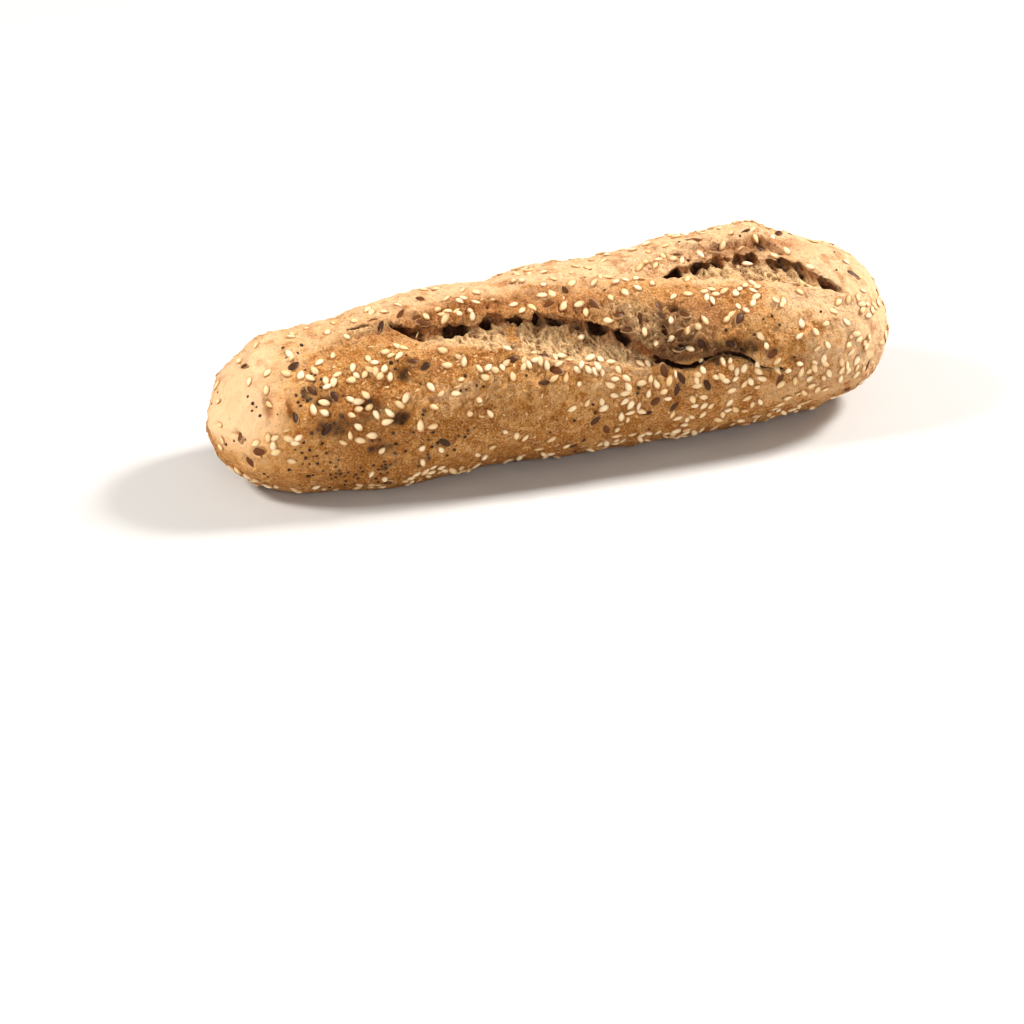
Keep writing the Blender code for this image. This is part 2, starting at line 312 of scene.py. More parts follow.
BACK_SLASH = Slash(
    name="back",
    stations=(
        (6, 112, 0.2, 0.4), (16, 93, 1, 1.6), (26, 77, 2, 3.4), (36, 70.5, 2.7, 4.4),
        (47, 68.5, 3.2, 4.6), (57, 65, 3.2, 4.2), (67, 62, 2.4, 3.6), (74, 57, 1.3, 2.6),
        (81, 46, 0.2, 0.4),
    ),
    edges=(
        (6, -0.05, 0.05), (27, -0.1, 0.1), (31, 0.8, 1.6), (34, 1.2, 3.4), (38, 0.4, 5.6),
        (43, -0.9, 6.6), (49, -1, 7), (54, -1.6, 7.6), (58, -2, 7.2), (62, -2.7, 5.9), (66, -3.4, 5.6),
        (70, -3.4, 3.6), (74, -2.4, 1.6), (78, -1.3, 0.5), (81, -0.1, 0.1),
    ),
    hollows=(
        Hollow(35.2, 3.2, 1.5, 1, 3), Hollow(41.6, 5.6, 3.2, 1.5, 4.4), Hollow(47.4, 4.6, 1.5, 1.1, 3.6),
        Hollow(53.4, 6.8, 1.9, 1.1, 3.4), Hollow(57.6, 6.6, 1.4, 1, 3.4), Hollow(61.8, 5, 1.3, 1, 3.2),
        Hollow(65.6, 5.2, 1.9, 1.1, 3.6), Hollow(70, 3.2, 1.4, 0.9, 3), Hollow(76.6, 0.1, 2.1, 1, 3.2),
    ),
    arch=1.3, rag=1.2, seed=23.0,
)


@dataclass(frozen=True)
class Dough:
    """The loaf's form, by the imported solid's rule and sizes: a core line, wrapped and rounded off."""

    core_half_length: float = 70.6
    girth_places: tuple[float, ...] = (-70.6, -47.0, -23.5, 0.0, 23.5, 47.0, 70.6)
    girths: tuple[float, ...] = (22.1, 25.0, 26.4, 27.2, 27.7, 28.1, 27.0)
    left_end_stretch: float = 1.17
    right_end_stretch: float = 1.05
    width_to_girth: float = 1.065
    height_to_girth: float = 0.94
    end_arc: float = 38.0
    box_middle: Span = (1.25, 0.47)
    base_sink: float = 3.6
    base_roll: float = 0.6
    crest_angle: float = 118.0
    crest_swells: Pairs = (
        (-78, 2.3), (-62, 0.7), (-30, 0.8), (-14, -0.9), (2, 0.5), (18, -0.7), (34, 0.7), (50, 1.4),
        (64, 3.8), (78, -1.5),
    )
    low_angle: float = -61.0
    low_swells: Pairs = (
        (-82, -0.9), (-68, 0.6), (-52, 1.6), (-36, 0.9), (-20, -1.3), (14, -0.5), (50, -1.2), (68, -2.4),
        (82, -2.5),
    )
    swell_reach: float = 11.0
    swell_turn: float = 42.0
    valleys: Pairs = ((11.0, 0.28), (4.5, 0.3))
    lumps: Pairs = ((17.0, 0.55), (8.0, 0.22))
    lump_seed: float = 5.0
    slashes: tuple[Slash, ...] = (FRONT_SLASH, BACK_SLASH)

    def girth_at(self, x: Array) -> Array:
        """The loaf's girth radius at a place along its core."""
        return through(self.girth_places, self.girths, x)

    def end_stretch(self, x: Array) -> Array:
        """How long the rounded end on this side is, against the girth."""
        return np.where(x < 0, self.left_end_stretch, self.right_end_stretch)

    def run_at(self, x: Array | float) -> Array:
        """The run, from -1 at the left tip to 1 at the right tip, at which the skin reaches x.

        Args:
            x: Places along X.

        Returns:
            The run at each place.
        """
        x = np.asarray(x, float)
        past = np.maximum(np.abs(x) - self.core_half_length, 0.0)
        core = np.clip(x, -self.core_half_length, self.core_half_length)
        lean = np.arcsin(np.clip(past / (self.end_stretch(x) * self.girth_at(core)), 0.0, 1.0))
        along = np.minimum(np.abs(x), self.core_half_length) + lean * self.end_arc / (math.pi / 2)
        return np.sign(x) * along / (self.core_half_length + self.end_arc)

    def swell_at(self, x: Array, angle: Array) -> Array:
        """The height of the broad swells at a place on the loaf.

        Args:
            x: Places along X.
            angle: Angles round the loaf.

        Returns:
            The height at each place.
        """
        height = np.zeros(np.broadcast(x, angle).shape)
        for centre, swells in ((self.crest_angle, self.crest_swells), (self.low_angle, self.low_swells)):
            around = hump(turned(angle, centre), self.swell_turn)
            for place, swell in swells:
                height += swell * around * hump(x - place, self.swell_reach)
        return height

    def spread_of(self, slash: Slash, x: Array) -> Array:
        """Degrees round the loaf for each millimetre across a slash.

        Args:
            slash: The slash.
            x: Places along X.

        Returns:
            The degrees at each place.
        """
        to_side = math.radians(1.0) * self.girth_at(x)
        half_step = 0.5
        slope = (slash.column(1, x + half_step) - slash.column(1, x - half_step)) * to_side
        return np.hypot(1.0, slope) / to_side

    def slash_at(self, slash: Slash, x: Array, angle: Array) -> tuple[Array, Array, Array]:
        """How a place lies to a slash.

        Args:
            slash: The slash.
            x: Places along X.
            angle: Angles round the loaf.

        Returns:
            The distance across the slash, and its half-width and depth there, both nought past its ends.
        """
        across = turned(angle, slash.column(1, x)) / self.spread_of(slash, x)
        inside = (x > slash.start) & (x < slash.end)
        return across, np.where(inside, slash.column(2, x), 0.0), np.where(inside, slash.column(3, x), 0.0)

    def skin(self, run: Array, angle: Array) -> tuple[Array, Array]:
        """The smooth crust before it is torn.

        Args:
            run: From -1 at the left tip to 1 at the right tip.
            angle: Round the loaf.

        Returns:
            Points on the crust, and the unit directions in which relief stands on it.
        """
        run, angle = np.broadcast_arrays(np.asarray(run, float), np.asarray(angle, float))
        along = run * (self.core_half_length + self.end_arc)
        core = np.clip(along, -self.core_half_length, self.core_half_length)
        lean = (along - core) / self.end_arc * (math.pi / 2)
        wrap = np.cos(lean)
        girth = self.girth_at(core)
        stretch = self.end_stretch(core)
        x = core + stretch * girth * np.sin(lean)
        turn = np.radians(angle)
        radius = girth + self.swell_at(x, angle) * np.sqrt(np.maximum(wrap, 0.0))
        for slash in self.slashes:
            across, _, depth = self.slash_at(slash, x, angle)
            for reach, share in self.valleys:
                radius = radius - share * depth * hump(across, reach)
        rough = np.stack((x, -girth * wrap * np.cos(turn), girth * wrap * np.sin(turn)), axis=-1)
        for wavelength, height in self.lumps:
            radius = radius + height * lumps(rough, wavelength, self.lump_seed)
        y = -self.width_to_girth * radius * wrap * np.cos(turn)
        z = self.height_to_girth * (girth + radius * wrap * np.sin(turn)) - self.base_sink
        roll = np.where(z < -self.base_roll, 0.0, (z + self.base_roll) ** 2 / (4.0 * self.base_roll))
        points = np.stack((x, y, np.where(z > self.base_roll, z, roll)), axis=-1)
        out = np.stack(
            (
                np.sin(lean) / stretch,
                -wrap * np.cos(turn) / self.width_to_girth,
                wrap * np.sin(turn) / self.height_to_girth,
            ),
            axis=-1,
        )
        return points, out / np.linalg.norm(out, axis=-1, keepdims=True)

    def in_metres(self, points: Array) -> Array:
        """Points moved so that the loaf's box stands on the origin, in metres."""
        return (points - np.array((*self.box_middle, 0.0))) * MM


@dataclass(frozen=True)
class Spot:
    """A place drawn for a seed: where, the way out and along the seed there, its size, lean and tint."""

    place: Array
    out: Array
    axis: Array
    size: float
    lean: float
    tint: float


@dataclass(frozen=True)
class Dent:
    """How crust gives way to a seed: half its length and width, the depth below and the rise round it."""

    length: float
    width: float
    depth: float
    rise: float
    bowl: float = 0.95
    rim: Span = (1.3, 0.38)
    felt: float = 2.4

    def add(self, height: Array, points: Array, spots: Sequence[Spot]) -> None:
        """Adds a dent to the height at each seed's place.

        Args:
            height: The relief to change, one value for each point.
            points: Places on the smooth crust.
            spots: Where the seeds lie.
        """
        reach = self.felt * self.length
        order = np.argsort(points[:, 0])
        along = points[order, 0]
        for spot in spots:
            near = order[between_ends(along, spot.place[0], reach)]
            apart = points[near] - spot.place
            aside = np.cross(spot.out, spot.axis)
            far = np.hypot(apart @ spot.axis / self.length, apart @ aside / self.width) / spot.size
            change = self.rise * hump(far - self.rim[0], self.rim[1]) - self.depth * hump(far, self.bowl)
            height[near] += np.where(np.abs(apart @ spot.out) < reach, change, 0.0)


@dataclass(frozen=True)
class Fold:
    """A line where crust lies over crust: its stations of place and angle, and the step's height."""

    stations: Pairs
    step: float
    edge: float = 0.6
    slope: float = 3.0
    shade: float = 1.1
    waver: float = 0.35
    waver_wavelength: float = 2.3
    waver_slant: float = 0.2
    fade: float = 4.0
    crease: float = 0.5
    crease_off: float = 0.3

    def at(self, x: Array, angle: Array, to_side: float) -> Array:
        """The fold's height at a place.

        Args:
            x: Places along X.
            angle: Angles round the loaf.
            to_side: Millimetres round the loaf to a degree.

        Returns:
            The height at each place.
        """
        places = [row[0] for row in self.stations]
        over = to_side * turned(angle, through(places, [row[1] for row in self.stations], x))
        waves = lumps(flat_places(x, self.waver_slant * x), self.waver_wavelength, self.step)
        over = over - self.waver * waves
        ends = ramp(np.minimum(x - places[0], places[-1] - x), 0.0, self.fade)
        above = ramp(over, 0.0, self.edge) * np.exp(-np.maximum(over, 0.0) / self.slope)
        return ends * self.step * (above - self.crease * hump(over + self.crease_off, self.shade))


@dataclass(frozen=True)
class Relief:
    """The crust's own small relief: blisters, puckers, gas pits, folds, seeds' dents and raised lips."""

    flax: tuple[Spot, ...] = ()
    sesame: tuple[Spot, ...] = ()
    poppy: tuple[Spot, ...] = ()
    flax_dent: Dent = Dent(2.3, 1.2, 0.4, 0.42)
    sesame_dent: Dent = Dent(1.65, 1.0, 0.16, 0.16)
    flax_stain: Span = (2.1, 0.4)
    poppy_stain: Span = (0.95, 0.26)
    grain: Pairs = ((9.0, 0.5), (5.2, 0.5), (2.9, 0.42), (1.6, 0.3), (0.9, 0.18))
    grain_seed: float = 3.0
    webs: Pairs = ((4.2, 0.36), (2.1, 0.34), (1.1, 0.16))
    smooth_places: tuple[Patch, ...] = patch_rows((-93, 40, 17, 80, 0.9), (94, 50, 13, 80, 0.35))
    calming: float = 0.8
    web_bend: float = 1.2
    web_bend_wavelength: float = 3.5
    web_everywhere: float = 0.25
    web_most: float = 4.6
    puckers: tuple[Patch, ...] = patch_rows(
        (-24, 20, 16, 18, 1.5), (26, 35, 10, 15, 4.6), (15, 56, 7, 7, 1.8), (42, 22, 10, 7, 2),
        (56, 89, 18, 7, 2.4), (32, 88, 12, 9, 1.8), (-26, 77, 24, 8, 3), (4, 61, 10, 7, 2.4),
        (-24, 44, 22, 6, 1.2), (-56, 80, 10, 6, 1.6), (-58, 26, 12, 14, 0.6),
    )
    dents: tuple[Patch, ...] = patch_rows(
        (-83.6, 40, 0.9, 11, 1.8), (-78.4, 37, 1, 7, 2), (-80.9, 39, 1.3, 8, -1),
        (-75.5, 32, 2.4, 8, -0.8), (-92, 19, 0.8, 2.4, 1.2), (-57.5, 27, 3, 5.5, 1.2),
        (-56.7, -5, 2.4, 4.5, 1), (-52.3, 37, 2, 4, 1), (-47.4, 39, 2.2, 4, 1.1),
        (-50, 14.5, 2.6, 4.5, 1), (-66, 24, 5, 9, -0.7), (-46, 2, 5, 7, -0.5), (-34, 28, 6, 7, -0.6),
        (-26, 16, 2.2, 12, 0.8), (-15, 14, 4, 10, -0.5), (6, 6, 5, 10, 0.6), (17, -16, 4, 12, 0.7),
        (29.6, 50, 1.3, 2, 3.2), (20.5, 45, 1.6, 4, 1.2), (25.5, 32, 1.8, 3, 1.3), (33, 26, 2.4, 3, 1),
        (30, 40, 3, 4, -0.8), (46, 24, 4, 4, 0.9), (62, 20, 6, 7, -0.5), (74, 44, 6, 9, 0.6),
        (84, 10, 4, 16, 0.6),
    )
    folds: tuple[Fold, ...] = (
        Fold(((-79, 60), (-74, 65.5), (-69, 71), (-61, 77), (-52, 76.5), (-43, 72)), step=0.6),
        Fold(
            ((38, 93), (43.5, 89.5), (49, 87.5), (54, 88.5), (58.5, 86.5), (63, 83), (69, 76)),
            step=1.5, edge=0.4, slope=2.4, shade=0.8,
        ),
        Fold(((-34, 2), (-29, 12), (-25, 24), (-21, 40)), step=0.9, edge=1.6, slope=7.0, shade=2.4),
        Fold(((-22, 0), (-17, 10), (-13, 22)), step=0.7, edge=1.6, slope=7.0, shade=2.4),
        Fold(((-86, 54), (-84.4, 45), (-83.6, 36), (-82, 24)), step=0.5),
    )
    lip_raise: float = 0.6
    lip_breadth: float = 1.5
    lip_offset: float = 0.6
    lip_full_depth: float = 4.0
    pit_count: int = 90
    pit_sizes: Span = (0.4, 1.1)
    pit_depth: float = 0.55
    pit_draw: int = 7
    pit_runs: Span = (-0.95, 0.95)
    pit_angles: Span = (-40.0, 180.0)
    pit_reach: float = 3.0
    stain_reach: float = 2.5
    base_fade: float = 4.0
    base_share: float = 0.15

    def pits(self, dough: Dough) -> tuple[Array, Array]:
        """The gas pits in the crust.

        Args:
            dough: The loaf's form.

        Returns:
            Their middles, as rows of three, and their radii.
        """
        draw = np.random.default_rng(self.pit_draw)
        run, angle, size = draw.random((3, self.pit_count))
        middles, _ = dough.skin(within(self.pit_runs, run), within(self.pit_angles, angle))
        return middles, within(self.pit_sizes, size**2)

    def smoothness(self, x: Array, angle: Array) -> Array:
        """How taut and even the crust is at a place, from 0 to 1."""
        return sum(patch.at(x, angle) for patch in self.smooth_places)

    def height(self, dough: Dough, points: Array, x: Array, angle: Array) -> Array:
        """How far the relief stands out of the smooth crust.

        Args:
            dough: The loaf's form.
            points: Places on the smooth crust.
            x: Their places along X.
            angle: Their angles round the loaf.

        Returns:
            The height of the relief at each place.
        """
        height = np.zeros(len(points))
        lively = 1.0 - self.calming * self.smoothness(x, angle)
        for wavelength, share in self.grain:
            height += lively * share * lumps(points, wavelength, self.grain_seed + wavelength)
        bent = warped(points, self.web_bend_wavelength, self.grain_seed, self.web_bend)
        share = self.web_everywhere + sum(patch.at(x, angle) for patch in self.puckers)
        share = np.clip(share, 0.0, self.web_most)
        for wavelength, rise in self.webs:
            walls = webs(bent, wavelength, self.grain_seed + wavelength)
            height += lively * share * rise * (walls - 0.5)
        for slash in dough.slashes:
            across, width, depth = dough.slash_at(slash, x, angle)
            edge = np.abs(across) - width - self.lip_offset
            lip = np.clip(depth / self.lip_full_depth, 0.0, 1.0) * hump(edge, self.lip_breadth)
            height += self.lip_raise * lip
        for middle, radius in zip(*self.pits(dough)):
            near = np.abs(points - middle).max(axis=-1) < self.pit_reach * radius
            distance = np.linalg.norm(points[near] - middle, axis=-1)
            height[near] -= self.pit_depth * radius * hump(distance, radius)
        height -= sum(dent.at(x, angle) for dent in self.dents)
        height += sum(fold.at(x, angle, math.radians(dough.girths[3])) for fold in self.folds)
        self.flax_dent.add(height, points, self.flax)
        self.sesame_dent.add(height, points, self.sesame)
        over_base = ramp(points[:, 2], 0.0, self.base_fade)
        return height * at_least(self.base_share, over_base)

    def stained(self, points: Array) -> Array:
        """How far the crust has darkened round its flax and poppy seeds.

        Args:
            points: Places on the smooth crust.

        Returns:
            One value for each place, from 0 upward.
        """
        order = np.argsort(points[:, 0])
        along = points[order, 0]
        stain = np.zeros(len(points))
        for spots, (reach, share) in ((self.flax, self.flax_stain), (self.poppy, self.poppy_stain)):
            for spot in spots:
                near = order[between_ends(along, spot.place[0], self.stain_reach * reach)]
                stain[near] += share * hump(np.linalg.norm(points[near] - spot.place, axis=-1), reach)
        return stain


def placed(name: str, data: ID) -> Object:
    """Puts a new object in the scene, at the origin.

    Args:
        name: The object's name.
        data: Its mesh, lamp or camera.

    Returns:
        The object.
    """
    made = bpy.data.objects.new(name, data)
    bpy.context.scene.collection.objects.link(made)
    return made


def store(mesh: Mesh, name: str, values: Array) -> None:
    """Stores a number or a row of three for each of a mesh's points."""
    kind, part = ("FLOAT", "value") if values.ndim == 1 else ("FLOAT_VECTOR", "vector")
    mesh.attributes.new(name, kind, "POINT").data.foreach_set(part, values.astype(np.float32).ravel())


def no_triangles() -> Array:
    """An empty list of faces of three corners."""
    return np.zeros((0, 3), int)


@dataclass
class Shape:
    """A mesh in the making: points in metres, faces of four or three corners, and named values by point."""

    points: Array
    quads: Array
    triangles: Array = field(default_factory=no_triangles)
    values: dict[str, Array] = field(default_factory=dict)

    def write(self, name: str, material: Material) -> Object:
        """Makes the shape an object in the scene, shaded smooth, with its values as attributes.

        Args:
            name: The object's name.
            material: Its finish.

        Returns:
            The object.
        """
        mesh = bpy.data.meshes.new(name)
        mesh.vertices.add(len(self.points))
        mesh.vertices.foreach_set("co", self.points.astype(np.float32).ravel())
        corners = np.concatenate((self.quads.ravel(), self.triangles.ravel())).astype(np.int32)
        totals = np.repeat((4, 3), (len(self.quads), len(self.triangles))).astype(np.int32)
        starts = np.concatenate(((0,), np.cumsum(totals)[:-1])).astype(np.int32)
        mesh.loops.add(len(corners))
        mesh.loops.foreach_set("vertex_index", corners)
        mesh.polygons.add(len(totals))
        mesh.polygons.foreach_set("loop_start", starts)
        mesh.polygons.foreach_set("loop_total", totals)
        for kind, values in self.values.items():
            store(mesh, kind, values)
        mesh.update(calc_edges=True)
        mesh.validate()
        mesh.shade_smooth()
        mesh.materials.append(material)
        return placed(name, mesh)


class Wiring:
    """Adds nodes to a tree and joins them."""

    def __init__(self, tree: NodeTree) -> None:
        """Wires this tree."""
        self.tree = tree

    def add(self, kind: str, values: Inputs | None = None, **settings: object) -> Node:
        """Adds a node.

        Args:
            kind: The node's type.
            values: What its inputs are filled with.
            **settings: The node's own settings.

        Returns:
            The node.
        """
        node = self.tree.nodes.new(kind)
        for name, value in settings.items():
            setattr(node, name, value)
        self.fill(node, values or {})
        return node

    def fill(self, node: Node, values: Inputs) -> None:
        """Sets a node's inputs.

        Args:
            node: The node.
            values: For each input, a value to set or another node's output to join.
        """
        for key, value in values.items():
            if isinstance(value, Socket):
                self.tree.links.new(value, node.inputs[key])
            else:
                node.inputs[key].default_value = value

    def math(self, operation: str, first: object, second: object = 0.0, third: object = 0.0) -> Socket:
        """The result of a sum on one to three numbers."""
        return self.add("ShaderNodeMath", {0: first, 1: second, 2: third}, operation=operation).outputs[0]

    def times(self, *factors: object) -> Socket:
        """The product of two or more numbers."""
        return reduce(partial(self.math, "MULTIPLY"), factors)

    def attribute(self, name: str) -> Socket:
        """A mesh's own value, for a material."""
        return self.add("ShaderNodeAttribute", attribute_name=name).outputs["Fac"]

    def between(
        self, value: object, low: float, high: float, to_low: float = 0.0, to_high: float = 1.0
    ) -> Socket:
        """A number carried from one span to another and held inside it."""
        values = {"Value": value, "From Min": low, "From Max": high, "To Min": to_low, "To Max": to_high}
        return self.add("ShaderNodeMapRange", values, clamp=True).outputs["Result"]

    def blend(self, share: object, first: object, second: object) -> Socket:
        """Two colours blended by a share."""
        return self.add("ShaderNodeMix", {0: share, 6: first, 7: second}, data_type="RGBA").outputs[2]

    def noise(self, where: object, wavelength: float, detail: float = 3.0, rough: float = 0.55) -> Socket:
        """Cloudy noise of a wavelength in millimetres."""
        values = {"Vector": where, "Scale": 1.0 / (wavelength * MM), "Detail": detail, "Roughness": rough}
        return self.add("ShaderNodeTexNoise", values).outputs["Fac"]

    def cells(self, where: object, wavelength: float) -> Socket:
        """The distance to the nearest wall between many small cells."""
        values = {"Vector": where, "Scale": 1.0 / (wavelength * MM)}
        return self.add("ShaderNodeTexVoronoi", values, feature="DISTANCE_TO_EDGE").outputs["Distance"]

    def bumps(self, height: object, deep: float, under: object | None = None) -> Socket:
        """A bump, laid over another.

        Args:
            height: The height, from 0 to 1.
            deep: How deep its full height is, in millimetres.
            under: The normal that it is laid over.

        Returns:
            The normal.
        """
        values = {"Height": height, "Distance": deep * MM, "Strength": 1.0}
        if under is not None:
            values["Normal"] = under
        return self.add("ShaderNodeBump", values).outputs["Normal"]


def new_material(name: str) -> tuple[Material, Wiring, Node]:
    """A material with a Principled shader.

    Args:
        name: The finish's name.

    Returns:
        The material, the wiring of its tree, and the shader.
    """
    material = bpy.data.materials.new(name)
    material.use_nodes = True
    return material, Wiring(material.node_tree), material.node_tree.nodes["Principled BSDF"]


def dress(wire: Wiring, shader: Node, *values: object) -> None:
    """Fills a shader's inputs, in the order of DRESSED: the colour, roughness, shine and bumped normal."""
    wire.fill(shader, dict(zip(DRESSED, values, strict=True)))


class Veil(NamedTuple):
    """A colour laid where a noise runs from one level to another, by how much, and what holds it back."""

    noise: str
    start: float
    full: float
    most: float
    over: Colour
    held: str | None = None


@dataclass(frozen=True)
class BreadFinish:
    """Dry baked rye crust with torn crumb in the slashes; its paler top and ends are partly painted light.
    """

    brown: Colour = colour(178, 108, 32)
    golden: Colour = colour(218, 156, 86)
    # The pale colour is laid on the top and ends: partly the crust's own paler bake, partly painted light
    # where the lamps fall most.
    pale: Colour = colour(236, 194, 148)
    # The olive colour is laid where the dark value is high: partly dark crust, partly painted shade.
    olive: Colour = colour(78, 44, 18)
    baked: Colour = colour(170, 102, 44)
    toasted: Colour = colour(104, 56, 20)
    floury: Colour = colour(246, 210, 156)
    crumb_light: Colour = colour(246, 200, 142)
    # The two darker crumb colours are partly the crumb's own brown and partly painted shade: in pores,
    # between strands, under the lip and in the depths.
    crumb_dark: Colour = colour(130, 74, 32)
    crumb_brown_and_shade: Colour = colour(70, 38, 20)
    torn_edge: Colour = colour(166, 94, 40)
    specular: float = 0.18
    strand_length: float = 2.6
    strand_squeeze: float = 3.6
    blister_height: float = 0.8
    grain_height: float = 0.6
    powder_height: float = 0.2
    pore_height: float = 0.3
    strand_height: float = 0.8
    bend: float = 4.0
    calmest: float = 0.1
    roughness: Span = (0.52, 0.78)
    rises: tuple[tuple[str, float], ...] = (("clouds", 0.38), ("mottle", 0.55))
    pore_size: float = 1.3
    blister_noise: tuple[float, float, float] = (1.6, 2.0, 0.5)
    noises: tuple[tuple[str, float, float, float], ...] = (
        ("clouds", 9.0, 4.0, 0.6),
        ("stains", 5.0, 3.0, 0.6),
        ("mottle", 2.6, 4.0, 0.65),
        ("grain", 0.55, 3.0, 0.62),
        ("powder", 0.25, 2.0, 0.6),
    )

    def lay(self, wire: Wiring, skin: Socket, read: Mapping[str, Socket], *veils: Veil) -> Socket:
        """Lays veils over a skin.

        Args:
            wire: The material's wiring.
            skin: The colour underneath.
            read: Noises, and what may hold a veil back, by name.
            *veils: The veils in order.

        Returns:
            The colour.
        """
        for veil in veils:
            share = wire.between(read[veil.noise], veil.start, veil.full, 0.0, veil.most)
            if veil.held is not None:
                share = wire.times(share, read[veil.held])
            skin = wire.blend(share, skin, veil.over)
        return skin

    def crust(self, wire: Wiring, noises: Mapping[str, Socket]) -> Socket:
        """The baked crust's colour, calmer where it is pale.

        Args:
            wire: The material's wiring.
            noises: Noise by name: clouds, stains, mottle, strand, grain and powder.

        Returns:
            The colour.
        """
        mottle, grain = noises["mottle"], noises["grain"]
        pale, dark = wire.attribute("pale"), wire.attribute("dark")
        calm = wire.between(wire.attribute("smooth"), 0.0, 1.0, 1.0, self.calmest)
        tone = pale
        for noise, swing in self.rises:
            cloudy = wire.between(noises[noise], 0.34, 0.66, -swing, swing)
            tone = wire.math("MULTIPLY_ADD", cloudy, calm, tone)
        tone = wire.math("ADD", tone, wire.between(noises["strand"], 0.3, 0.7, -0.16, 0.16))
        # The pale value, high on the top and ends, lightens the crust: partly painted light.
        skin = wire.blend(wire.between(tone, 0.0, 0.5), self.brown, self.golden)
        light = wire.math("MULTIPLY_ADD", wire.math("SUBTRACT", tone, pale), 0.4, pale)
        skin = wire.blend(wire.between(light, 0.45, 1.0), skin, self.pale)
        # The toast value also darkens two grooves at the left end, partly painted shade.
        toast = wire.times(wire.attribute("toast"), wire.between(mottle, 0.3, 0.6, 0.5, 1.0))
        skin = wire.blend(toast, skin, self.baked)
        lively = wire.between(pale, 0.25, 0.9, 1.45, 0.8)
        dusty = wire.times(wire.between(dark, 0.0, 0.8, 1.0, 0.15), wire.between(calm, 0.0, 1.0, 0.25))
        dusty = wire.times(dusty, lively)
        read = {**noises, "calm": calm, "scorch": wire.times(calm, lively), "dusty": dusty}
        stains = Veil("stains", 0.52, 0.66, 0.7, self.baked, "calm")
        skin = self.lay(wire, skin, read, stains, Veil("mottle", 0.55, 0.7, 0.6, self.baked, "calm"))
        # Olive where the dark value is high: partly smudged crust, partly painted shade in dents, creases
        # and towards the bottom.
        patchy = wire.math("MULTIPLY_ADD", mottle, 3.0, wire.math("MULTIPLY_ADD", grain, 2.0, -1.5))
        skin = wire.blend(wire.between(wire.times(dark, patchy), 0.3, 0.75, 0.0, 0.9), skin, self.olive)
        specks = (
            Veil("grain", 0.53, 0.7, 0.5, self.floury, "dusty"),
            Veil("grain", 0.46, 0.3, 0.6, self.toasted, "scorch"),
            Veil("powder", 0.6, 0.76, 0.5, self.floury, "dusty"),
        )
        return self.lay(wire, skin, read, *specks)

    def crumb(self, wire: Wiring, noises: Mapping[str, Socket]) -> Socket:
        """The torn crumb's colour: palest on its walls and strands, and dark in its pores and depths, much
        of it painted shade.

        Args:
            wire: The material's wiring.
            noises: Noise by name: pores, mottle and strand.

        Returns:
            The colour.
        """
        # Pale on the crumb's thin walls and darker in the pores between them: partly painted shade in the
        # pores.
        wall = wire.between(wire.attribute("wall"), 0.1, 0.7)
        inner = wire.blend(wall, self.crumb_dark, self.crumb_light)
        # The strand veils paint the fibres paler and the gaps between them darker, partly painted light and
        # shade.
        fibres = (
            Veil("strand", 0.5, 0.66, 0.75, self.floury),
            Veil("strand", 0.46, 0.3, 0.6, self.crumb_dark),
            Veil("pores", 0.14, 0.02, 0.45, self.floury),
            Veil("mottle", 0.54, 0.72, 0.5, self.torn_edge),
        )
        inner = self.lay(wire, inner, noises, *fibres)
        # The dark value darkens the crumb: partly dark crust, mostly painted shade under the upper lip.
        inner = wire.blend(wire.times(wire.attribute("dark"), 0.7), inner, self.crumb_dark)
        # Darkest in the opening's depths: painted shade, partly the crumb's browner colour.
        return wire.blend(wire.attribute("deep"), inner, self.crumb_brown_and_shade)

    def material(self) -> Material:
        """The finish, which reads the mesh's own values.

        Returns:
            The material.
        """
        material, wire, shader = new_material("baked_crust")
        where = wire.add("ShaderNodeTexCoord").outputs["Object"]
        along = wire.add("ShaderNodeSeparateXYZ", {0: where}).outputs["X"]
        drawn = {
            "X": wire.times(along, self.strand_squeeze),
            "Y": wire.attribute("across"),
            "Z": wire.times(wire.noise(where, self.bend, 2.0), self.bend * MM),
        }
        strands = wire.add("ShaderNodeCombineXYZ", drawn).outputs[0]
        noises = {name: wire.noise(where, *sizes) for name, *sizes in self.noises}
        noises["strand"] = wire.noise(strands, self.strand_length, 3.0, 0.6)
        noises["pores"] = wire.cells(where, self.pore_size)
        crumb, strand = wire.attribute("crumb"), noises["strand"]
        skin = wire.blend(crumb, self.crust(wire, noises), self.crumb(wire, noises))
        edge = wire.times(wire.attribute("edge"), wire.between(strand, 0.36, 0.6, 1.0, 0.35))
        skin = wire.blend(edge, skin, self.torn_edge)
        gloss = wire.between(noises["mottle"], 0.3, 0.7, *self.roughness)
        calm = wire.between(wire.attribute("smooth"), 0.0, 1.0, 1.0, self.calmest)
        lively = wire.times(calm, wire.between(wire.attribute("pale"), 0.25, 0.9, 1.6, 0.9))
        hollow = wire.times(crumb, wire.between(noises["pores"], 0.0, 0.3, 1.0, 0.0))
        rough = None
        for height, deep in (
            (wire.times(wire.noise(where, *self.blister_noise), calm), self.blister_height),
            (wire.times(noises["grain"], lively), self.grain_height),
            (noises["powder"], self.powder_height),
            (wire.times(crumb, strand), self.strand_height),
            (hollow, self.pore_height),
        ):
            rough = wire.bumps(height, deep, rough)
        dress(wire, shader, skin, gloss, self.specular, rough)
        return material


